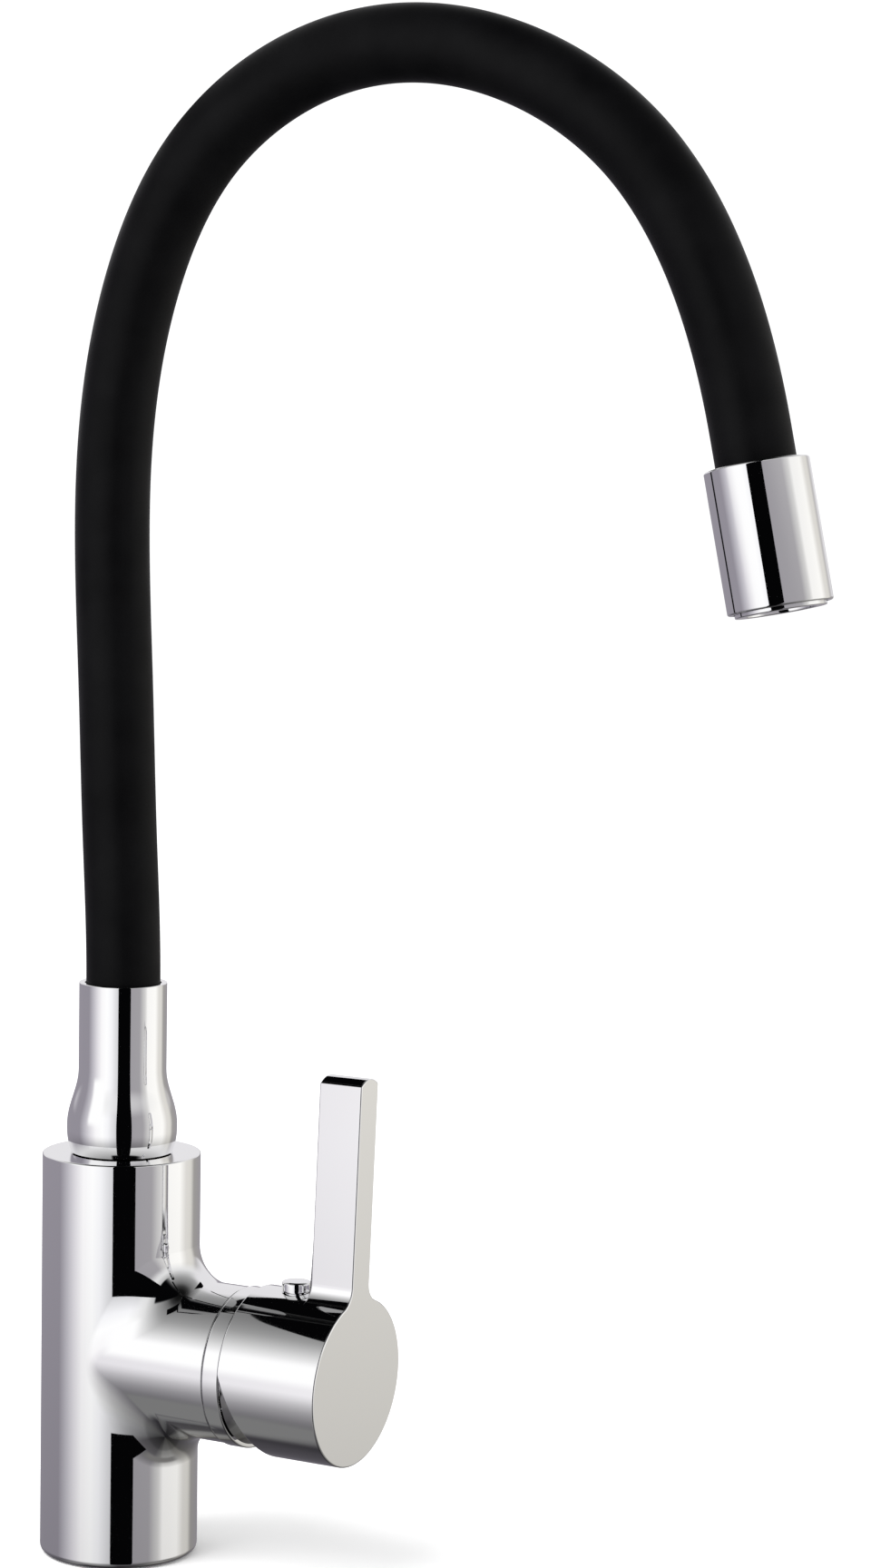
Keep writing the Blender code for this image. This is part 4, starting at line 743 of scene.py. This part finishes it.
def handle_skin():
    """Cap and lever as one hollow shell, in rows that run from the face to the bore's floor."""
    outline = handle_outline()
    roots = [root for _, _, root in outline]

    def behind_face(point, depth):
        x = HANDLE_FACE + point.y * math.tan(HANDLE_LEAN) - depth / math.cos(HANDLE_LEAN)
        return Vector((x, point.x, BRANCH_HEIGHT + point.y))

    def rear(point, forward=0.0):
        slanted = (LIFT_REACH - point.y * math.sin(LIFT_ANGLE)) / math.cos(LIFT_ANGLE)
        x = PIVOT_X + max(LIFT_REACH, slanted) + forward
        return Vector((x, point.x, BRANCH_HEIGHT + point.y))

    rows = []
    for inset, depth in arc((LEVER_EDGE, LEVER_EDGE), LEVER_EDGE, 1.5 * math.pi, math.pi):
        rows.append([behind_face(p - out * inset, depth) for p, out, _ in outline])
    for turn in evenly(0.0, math.pi / 2, EDGE_STEPS):
        row = []
        for point, out, _ in outline:
            edge = min(LEVER_EDGE, max(0.0, (point.length - HANDLE_RADIUS) / 2))
            inset = edge * (1 - math.cos(turn))
            depth = LEVER_DEPTH - edge * (1 - math.sin(turn))
            row.append(behind_face(point - out * inset, depth))
        rows.append(row)
    rows.append([behind_face(root, LEVER_DEPTH) for root in roots])
    for inset, forward in arc((HANDLE_EDGE, HANDLE_EDGE), HANDLE_EDGE, math.pi, 1.5 * math.pi):
        share = (HANDLE_RADIUS - inset) / HANDLE_RADIUS
        rows.append([rear(root * share, forward) for root in roots])
    bore = HANDLE_BORE / HANDLE_RADIUS
    rows.append([rear(root * bore) for root in roots])
    floor_x = HANDLE_FACE - HANDLE_FACE_WALL
    rows.append([Vector((floor_x, r.x * bore, BRANCH_HEIGHT + r.y * bore)) for r in roots])
    verts, faces = bridged(rows, closed=False)
    cap_ends(verts, faces, len(outline))
    return mesh_piece("handle_and_lever", verts, faces)


def stem_socket():
    """The box that is cut into the hub for the cartridge's stem."""
    half = Vector(((STEM_FRONT - HANDLE_REAR) / 2, STEM_WIDTH / 2, STEM_THICKNESS / 2))
    middle = Vector(((STEM_FRONT + HANDLE_REAR) / 2, 0.0, BRANCH_HEIGHT))
    bm = bmesh.new()
    bmesh.ops.create_cube(bm, size=2.0, matrix=Matrix.LocRotScale(middle, None, half))
    mesh = bpy.data.meshes.new("stem_socket_cut")
    bm.to_mesh(mesh)
    bm.free()
    return add_object("stem_socket_cut", mesh)


def handle():
    """Round cap and flat lever, with the hub for the stem and the boss for the set screw."""
    skin = handle_skin()
    hub = rod(HUB_RADIUS, PIVOT_X + DOME_RADIUS + GAP, HANDLE_FACE - HANDLE_FACE_WALL / 2)
    boss_radius = PLUG_HOLE_RADIUS + PLUG_BOSS_WALL
    boss = rod(boss_radius, HUB_RADIUS / 2, (HANDLE_RADIUS + HANDLE_BORE) / 2)
    additions = [
        turned("hub", hub, AT_BRANCH, HUB_SIDES),
        turned("boss", boss, AT_SCREW, HUB_SIDES),
    ]
    combine(skin, "UNION", additions)
    plug_floor = HANDLE_RADIUS - PLUG_STEM_LENGTH - GAP
    holes = [
        (0.0, HANDLE_RADIUS + CUT_OVERRUN),
        (PLUG_HOLE_RADIUS, HANDLE_RADIUS + CUT_OVERRUN),
        (PLUG_HOLE_RADIUS, plug_floor),
        (SCREW_HOLE_RADIUS, plug_floor),
        (SCREW_HOLE_RADIUS, 0.0),
        (0.0, 0.0),
    ]
    socket = stem_socket()
    combine(skin, "DIFFERENCE", [turned("screw_cut", holes, AT_SCREW, BORE_SIDES), socket])
    dress(even_shading(skin), CHROME, ["handle"], "lever")


def indicator_plug():
    """The small bright plug on the cap, over the set screw."""
    foot = HANDLE_RADIUS + GAP
    top = foot + PLUG_HEAD_HEIGHT
    shoulder = (PLUG_HEAD_RADIUS - PLUG_HEAD_ROUNDING, top - PLUG_HEAD_ROUNDING)
    profile = [
        (0.0, top),
        *arc(shoulder, PLUG_HEAD_ROUNDING, math.pi / 2, 0.0, ROUNDING_STEPS),
        (PLUG_HEAD_RADIUS, foot),
        (PLUG_STEM_RADIUS, foot),
        (PLUG_STEM_RADIUS, HANDLE_RADIUS - PLUG_STEM_LENGTH),
        (0.0, HANDLE_RADIUS - PLUG_STEM_LENGTH),
    ]
    plug = turned("indicator_plug_head", profile, AT_SCREW, SMALL_SIDES)
    dress(even_shading(plug), CHROME, ["indicator_plug"], "lever")


# Slip ring and bell


def spout_slip_ring():
    """The thin black ring between body and bell, in the bell's recess."""
    low = BODY_HEIGHT + GAP
    high = low + SLIP_RING_THICKNESS
    edge = SLIP_RING_EDGE
    rim = SLIP_RING_RADIUS - edge
    profile = [
        (SLIP_RING_BORE, high),
        *arc((rim, high - edge), edge, math.pi / 2, 0.0),
        *arc((rim, low + edge), edge, 0.0, -math.pi / 2),
        (SLIP_RING_BORE, low),
    ]
    ring = turned("slip_ring", profile)
    dress(even_shading(ring), RUBBER, ["spout_slip_ring"], "faucet")


def spout_bell():
    """The bright bell that the hose rises from, with a rounded rim at its top."""
    rim = BELL_SLEEVE_RADIUS - BELL_EDGE
    mouth = BELL_BORE_RADIUS + BELL_EDGE
    outside = [
        *arc((mouth, BELL_TOP - BELL_EDGE), BELL_EDGE, math.pi, math.pi / 2),
        *arc((rim, BELL_TOP - BELL_EDGE), BELL_EDGE, math.pi / 2, 0.0),
    ]
    for i in range(SHOULDER_STEPS + 1):
        share = i / SHOULDER_STEPS
        radius = BELL_SLEEVE_RADIUS + BELL_FLARE * (1 - math.cos(math.pi * share)) / 2
        outside.append((radius, BELL_WAIST + (BELL_SHOULDER - BELL_WAIST) * share))
    drop = BELL_BULGE - BELL_FOOT
    round_radius = (BELL_FOOT_INSET**2 + drop**2) / (2 * BELL_FOOT_INSET)
    round_middle = (BELL_SLEEVE_RADIUS + BELL_FLARE - round_radius, BELL_BULGE)
    round_end = -math.asin(drop / round_radius)
    outside += arc(round_middle, round_radius, 0.0, round_end, BULGE_STEPS)
    inside = [
        (SLIP_RING_RADIUS + GAP, BELL_FOOT),
        (SLIP_RING_RADIUS + GAP, BELL_RECESS),
        (BELL_NECK_RADIUS, BELL_RECESS),
        (BELL_NECK_RADIUS, HOSE_SEAT),
        (BELL_BORE_RADIUS, HOSE_SEAT),
    ]
    bell = turned("spout_bell", outside + inside)
    dress(even_shading(bell), CHROME, ["spout_base"], "spout")


# Hose


class HoseRoute:
    """The hose's middle line, a smooth curve that is read by the distance along it."""

    def __init__(self):
        start = np.array((0.0, HOSE_SEAT + GAP))
        down = np.array((math.sin(OUTLET_LEAN), -math.cos(OUTLET_LEAN)))
        shares = np.array(HOSE_ROUTE_SHARES)
        through = shares * (SPOUT_REACH, SPOUT_RISE) + (0.0, BELL_TOP)
        curve = self.smooth(through, np.array((0.0, 1.0)), down)
        end = through[-1] + down * (OUTLET_MOUTH_DEPTH - GAP)
        self.points = np.vstack([start, curve, end])
        steps = np.hypot(*np.diff(self.points, axis=0).T)
        self.distances = np.concatenate([[0.0], np.cumsum(steps)])
        self.length = self.distances[-1]
        exit_distance = self.distances[1]
        free = self.distances[-2] - exit_distance
        self.joints = [exit_distance + share * free for share in HOSE_JOINT_SHARES]

    @staticmethod
    def smooth(through, start_direction, end_direction):
        """A cubic spline through the points, with its direction set at both ends."""
        spans = np.hypot(*np.diff(through, axis=0).T)
        slopes = np.diff(through, axis=0) / spans[:, None]
        last = len(through) - 1
        system = np.eye(len(through))
        known = np.zeros_like(through)
        known[0] = start_direction
        known[last] = end_direction
        for i in range(1, last):
            before = 1 / spans[i - 1]
            after = 1 / spans[i]
            system[i, i - 1 : i + 2] = (before, 2 * (before + after), after)
            known[i] = 3 * (slopes[i - 1] * before + slopes[i] * after)
        tangents = np.linalg.solve(system, known)
        points = [through[0]]
        for i, span in enumerate(spans):
            for step in range(1, CURVE_STEPS + 1):
                t = step / CURVE_STEPS
                points.append(
                    (2 * t**3 - 3 * t**2 + 1) * through[i]
                    + (t**3 - 2 * t**2 + t) * span * tangents[i]
                    + (3 * t**2 - 2 * t**3) * through[i + 1]
                    + (t**3 - t**2) * span * tangents[i + 1]
                )
        return np.array(points)

    def point(self, distance):
        x, z = (np.interp(distance, self.distances, column) for column in self.points.T)
        return Vector((float(x), 0.0, float(z)))

    def across(self, distance):
        """Direction square to the hose, in its own plane."""
        low = max(0.0, distance - HOSE_STEP)
        high = min(self.length, distance + HOSE_STEP)
        ahead = (self.point(high) - self.point(low)).normalized()
        return Vector((ahead.z, 0.0, -ahead.x))

    def ring(self, distance, radius):
        """Points round the middle line."""
        middle = self.point(distance)
        across = self.across(distance)
        aside = Vector((0.0, 1.0, 0.0))
        turns = full_turn(HOSE_SIDES)
        return [middle + (across * math.cos(t) + aside * math.sin(t)) * radius for t in turns]


def hose_sleeves():
    """The sleeve in five stretches that meet between the joints, each spanning one joint."""
    route = HoseRoute()
    middles = [(a + b) / 2 for a, b in zip(route.joints, route.joints[1:])]
    ends = [SLEEVE_START, *middles, route.length]
    for index, joint in enumerate(route.joints):
        start, end = ends[index : index + 2]
        stations = evenly(start, end, round((end - start) / HOSE_STEP))
        rows = [route.ring(s, HOSE_RADIUS) for s in stations]
        rows += [route.ring(s, SLEEVE_BORE_RADIUS) for s in reversed(stations)]
        sleeve = mesh_piece("hose_stretch_" + str(index + 1), *bridged(rows))
        sleeve.data.shade_smooth()
        sleeve.data.set_sharp_from_angle(angle=HOSE_SHARP_ANGLE)
        nodes = ["hose_sleeve_" + str(index + 1)]
        if index + 1 == len(route.joints):
            nodes.append("hose_sleeve_" + str(index + 2))
        dress(sleeve, SILICONE, nodes, None)
        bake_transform(sleeve)


# Outlet


def outlet_shell():
    """The bright sleeve at the hose's end."""
    edge = OUTLET_ROUNDING
    rim = OUTLET_RADIUS - edge
    profile = [
        *arc((rim, -edge), edge, math.pi / 2, 0.0),
        *arc((rim, edge - OUTLET_LENGTH), edge, 0.0, -math.pi / 2),
        (OUTLET_BORE_RADIUS, -OUTLET_LENGTH),
        (OUTLET_BORE_RADIUS, -OUTLET_MOUTH_DEPTH),
        (OUTLET_MOUTH_RADIUS, -OUTLET_MOUTH_DEPTH),
        (OUTLET_MOUTH_RADIUS, 0.0),
    ]
    shell = turned("outlet_sleeve", profile, AT_OUTLET)
    dress(even_shading(shell), CHROME, ["outlet_shell"], "outlet")


def aerator_housing():
    """The ring at the outlet's mouth, with a lip that holds the insert."""
    edge = AERATOR_EDGE
    lip_bore = AERATOR_BORE_RADIUS - AERATOR_LIP_WIDTH
    lip_top = AERATOR_LIP_HEIGHT - AERATOR_END_DEPTH
    profile = [
        (AERATOR_RADIUS, -AERATOR_TOP_DEPTH),
        *arc((AERATOR_RADIUS - edge, edge - AERATOR_END_DEPTH), edge, 0.0, -math.pi / 2),
        *arc((lip_bore + edge, edge - AERATOR_END_DEPTH), edge, -math.pi / 2, -math.pi),
        (lip_bore, lip_top),
        (AERATOR_BORE_RADIUS, lip_top),
        (AERATOR_BORE_RADIUS, -AERATOR_TOP_DEPTH),
    ]
    housing = turned("aerator_ring", profile, AT_OUTLET)
    dress(even_shading(housing), CHROME, ["aerator_housing"], "outlet")


def aerator_insert():
    """The plate that the water leaves by, with rings of small chamfered holes."""
    top, end = -INSERT_TOP_DEPTH, -INSERT_END_DEPTH
    plate = turned("aerator_plate", rod(INSERT_RADIUS, end, top), sides=SMALL_SIDES)
    hole = [
        (0.0, CUT_OVERRUN + top),
        (INSERT_HOLE_RADIUS, CUT_OVERRUN + top),
        (INSERT_HOLE_RADIUS, INSERT_CHAMFER + end),
        (INSERT_HOLE_RADIUS + 2 * INSERT_CHAMFER, end - INSERT_CHAMFER),
        (0.0, end - INSERT_CHAMFER),
    ]
    cutters = []
    for ring, count in enumerate(INSERT_HOLES_BY_RING):
        away = ring * INSERT_PITCH
        for turn in full_turn(count):
            lay = Matrix.Translation((away * math.cos(turn), away * math.sin(turn), 0.0))
            cutters.append(turned("insert_cut", hole, lay, HOLE_SIDES))
    combine(plate, "DIFFERENCE", cutters)
    plate.data.transform(AT_OUTLET)
    dress(even_shading(plate), GREY_PLASTIC, ["aerator_insert"], "outlet")


# Camera


def camera_axes():
    """Level directions: back from the object towards the camera, and to the camera's right."""
    back = Vector((math.sin(CAMERA_AZIMUTH), -math.cos(CAMERA_AZIMUTH), 0.0))
    aside = Vector((math.cos(CAMERA_AZIMUTH), math.sin(CAMERA_AZIMUTH), 0.0))
    return back, aside


def camera_place():
    back, aside = camera_axes()
    return back * CAMERA_DISTANCE + aside * CAMERA_ASIDE + Vector((0.0, 0.0, CAMERA_HEIGHT))


def camera():
    """The camera at the photograph's viewing angle."""
    data = bpy.data.cameras.new("camera")
    data.lens = CAMERA_LENS
    data.clip_start = CAMERA_NEAR
    data.clip_end = CAMERA_FAR
    back, aside = camera_axes()
    forward = -back * math.cos(CAMERA_TILT) - Vector((0.0, 0.0, math.sin(CAMERA_TILT)))
    level_up = aside.cross(forward)
    right = aside * math.cos(CAMERA_ROLL) + level_up * math.sin(CAMERA_ROLL)
    up = level_up * math.cos(CAMERA_ROLL) - aside * math.sin(CAMERA_ROLL)
    turn = Matrix((right, up, -forward)).transposed().to_4x4()
    view = add_object("camera", data)
    view.matrix_world = Matrix.Translation(camera_place()) @ turn
    bpy.context.scene.camera = view


# Studio

# The light tent. Its colours are as a screen shows them
TENT_RADIUS = 4.0
TENT_COLUMNS = 480
TENT_ROWS = 240
DISPLAY_GAMMA = 2.2
MAUVE = (0.565, 0.55, 0.585)
SOFT_GREY = (0.625, 0.615, 0.63)
WARM_GREY = (0.825, 0.815, 0.79)
WHITE = (1.0, 1.0, 1.0)
BLACK = (0.05, 0.05, 0.055)

# Its colour by the angle from the camera's direction, counted towards the camera's right
WALL_STOPS = (
    (-180, MAUVE),
    (-100, MAUVE),
    (-86, (0.71, 0.70, 0.73)),
    (-71, (0.86, 0.85, 0.87)),
    (-57, (0.975, 0.97, 0.975)),
    (-42, WHITE),
    (-30, (0.96, 0.96, 0.97)),
    (-14, (0.83, 0.83, 0.84)),
    (-2, (0.60, 0.59, 0.61)),
    (44, SOFT_GREY),
    (53, (0.75, 0.745, 0.745)),
    (59, (0.81, 0.805, 0.80)),
    (67, (0.97, 0.965, 0.955)),
    (94, (0.99, 0.985, 0.97)),
    (108, (0.86, 0.85, 0.83)),
    (117, (0.85, 0.84, 0.815)),
    (122, WARM_GREY),
    (131, (0.61, 0.60, 0.59)),
    (180, MAUVE),
)

# What that colour is multiplied by, by the angle above the horizon
RISE_STOPS = (
    (-90, 0.22),
    (-62, 0.38),
    (-57, 0.47),
    (-49, 0.52),
    (-40, 0.58),
    (-31, 0.67),
    (-21, 0.82),
    (-16, 0.91),
    (-12, 0.965),
    (-9, 1.0),
    (15, 1.0),
    (24, 0.95),
    (33, 0.87),
    (42, 0.73),
    (50, 0.60),
    (57, 0.52),
    (64, 0.42),
    (72, 0.22),
    (80, 0.11),
    (90, 0.08),
)

# The wall turns white between these angles above the horizon
WHITE_RISES = (15.0, 35.0)

# Patches of the tent with a light of their own: colour, and the angles aside and up between
# which they fade in and out
TENT_PATCHES = (
    (BLACK, (-30.0, -22.0, 35.0, 60.0), (43.0, 46.0, 84.0, 89.0)),
    ((0.44, 0.435, 0.43), (15.0, 35.0, 90.0, 110.0), (-45.0, -39.0, -34.0, -26.0)),
    (WHITE, (-82.0, -72.0, -50.0, -40.0), (-4.0, 8.0, 22.0, 34.0)),
    ((0.46, 0.46, 0.46), (-135.0, -112.0, -84.0, -74.0), (-66.0, -58.0, -46.0, -38.0)),
)

# The light behind the object, on both sides alike
BEHIND_LIGHT = (0.875, 0.87, 0.88)
BEHIND_TURNS = (115.0, 150.0)
BEHIND_RISES = (2.0, 7.0, 38.0, 50.0)

# A level black card over the object, which the cap and the top of the lever reflect
CARD_CORNERS = (
    (-0.100, -0.230),
    (-0.100, 0.500),
    (-0.275, 0.500),
    (-0.275, 0.390),
    (-0.200, 0.000),
    (-0.196, -0.090),
    (-0.184, -0.230),
)
CARD_HEIGHT = 0.500

# A tall black card near the camera, the dark stripe on the upright pieces
FRONT_CARD_LEFT = (0.207, -0.516)
FRONT_CARD_RIGHT = (0.382, -0.281)
FRONT_CARD_HEIGHTS = (-0.400, 0.620)

# Floor, soft light all round and one lamp
FLOOR_SIZE = 60.0
FLOOR_HEIGHT = -0.0002
WORLD_STRENGTH = 1.12
KEY_SIZE = 1.6
KEY_POWER = 60.0
KEY_PLACE = (-0.6, -1.4, 2.2)


def step_up(value, low, high):
    """Zero below low, one above high, and smooth between them."""
    share = np.clip((value - low) / (high - low), 0.0, 1.0)
    return share * share * (3 - 2 * share)


def window(value, low, low_full, high_full, high):
    """One between the full values, zero outside low and high, and smooth between them."""
    return step_up(value, low, low_full) * (1 - step_up(value, high_full, high))


def tent_colour(direction):
    """Colour of the tent's light in each direction, given as an array of unit vectors."""
    towards = np.array(camera_place().xy.normalized().to_3d())
    right = np.array((-towards[1], towards[0], 0.0))
    turn = np.degrees(np.arctan2(direction @ right, direction @ towards))
    rise = np.degrees(np.arcsin(np.clip(direction[:, 2], -1.0, 1.0)))

    def blend(base, colour, share):
        return base * (1 - share[:, None]) + np.array(colour) * share[:, None]

    stops, colours = zip(*WALL_STOPS)
    wall = np.stack([np.interp(turn, stops, column) for column in zip(*colours)], axis=1)
    wall = blend(wall, WHITE, step_up(rise, *WHITE_RISES))
    light = wall * np.interp(rise, *zip(*RISE_STOPS))[:, None]
    for colour, turns, rises in TENT_PATCHES:
        light = blend(light, colour, window(turn, *turns) * window(rise, *rises))
    behind = step_up(np.abs(turn), *BEHIND_TURNS) * window(rise, *BEHIND_RISES)
    light = blend(light, BEHIND_LIGHT, behind)
    return light**DISPLAY_GAMMA / CHROME_COLOUR[0]


def glowing_shell(name, verts, faces, colours):
    """A stage mesh that only reflections show, with its own light at every vertex."""
    mesh = bpy.data.meshes.new(name)
    mesh.from_pydata([tuple(v) for v in verts], [], faces)
    glow = mesh.attributes.new("glow", "FLOAT_COLOR", "POINT")
    glow.data.foreach_set("color", np.insert(colours, 3, 1.0, axis=1).astype(np.float32).ravel())
    shell = add_object(name, mesh)

    material = bpy.data.materials.new(name)
    material.use_nodes = True
    nodes = material.node_tree.nodes
    nodes.clear()
    emission = nodes.new("ShaderNodeEmission")
    light = nodes.new("ShaderNodeAttribute")
    light.attribute_name = "glow"
    output = nodes.new("ShaderNodeOutputMaterial")
    material.node_tree.links.new(light.outputs["Color"], emission.inputs["Color"])
    material.node_tree.links.new(emission.outputs["Emission"], output.inputs["Surface"])
    material.cycles.emission_sampling = "NONE"
    mesh.materials.append(material)
    shell.visible_camera = False
    shell.visible_diffuse = False
    shell.visible_shadow = False


def light_tent():
    """A tent of soft light round the object."""
    turns = full_turn(TENT_COLUMNS)
    rows = []
    for row in range(1, TENT_ROWS):
        rise = math.pi * (row / TENT_ROWS - 0.5)
        width, height = math.cos(rise), math.sin(rise)
        rows.append([Vector((width * math.cos(t), width * math.sin(t), height)) for t in turns])
    verts, faces = bridged(rows, closed=False)
    cap_ends(verts, faces, TENT_COLUMNS)
    colours = tent_colour(np.array(verts))
    glowing_shell("light_tent", [v * TENT_RADIUS for v in verts], faces, colours)


def black_card(name, corners):
    colours = np.array([BLACK] * len(corners)) ** DISPLAY_GAMMA
    glowing_shell(name, corners, [tuple(range(len(corners)))], colours)


def black_cards():
    """The cards that the cap, the lever's top and the upright pieces reflect as dark patches."""
    black_card("overhead_card", [(x, y, CARD_HEIGHT) for x, y in CARD_CORNERS])
    low, high = FRONT_CARD_HEIGHTS
    left, right = FRONT_CARD_LEFT, FRONT_CARD_RIGHT
    black_card("front_card", [(*left, low), (*right, low), (*right, high), (*left, high)])


def pale_floor():
    """A plain matt floor, which the chrome doesn't reflect."""
    bpy.ops.mesh.primitive_plane_add(size=FLOOR_SIZE, location=(0.0, 0.0, FLOOR_HEIGHT))
    floor = bpy.context.object
    floor.name = "pale_floor"
    material = shader("pale_floor", (0.93, 0.93, 0.93), roughness=0.7, specular=0.0)
    tint(material, noise(material, 3.0), (0.925, 0.925, 0.925), (0.94, 0.94, 0.94))
    floor.data.materials.append(material)
    floor.visible_glossy = False


def studio_light():
    """White light from all round, and a soft lamp above for the shadow on the floor."""
    world = bpy.data.worlds.new("studio")
    world.use_nodes = True
    background = world.node_tree.nodes["Background"]
    background.inputs["Color"].default_value = (1.0, 1.0, 1.0, 1.0)
    background.inputs["Strength"].default_value = WORLD_STRENGTH
    bpy.context.scene.world = world
    light = bpy.data.lights.new("key_light", "AREA")
    light.size = KEY_SIZE
    light.energy = KEY_POWER
    key = add_object("key_light", light)
    key.location = KEY_PLACE
    key.rotation_euler = (-key.location).to_track_quat("-Z", "Y").to_euler()
    key.visible_glossy = False
    key.visible_camera = False
    bpy.context.scene.view_settings.view_transform = "Standard"


camera()
finish_frame_nodes()
faucet_body()
trim_dome()
handle()
indicator_plug()
spout_slip_ring()
spout_bell()
hose_sleeves()
outlet_shell()
aerator_housing()
aerator_insert()
light_tent()
black_cards()
pale_floor()
studio_light()
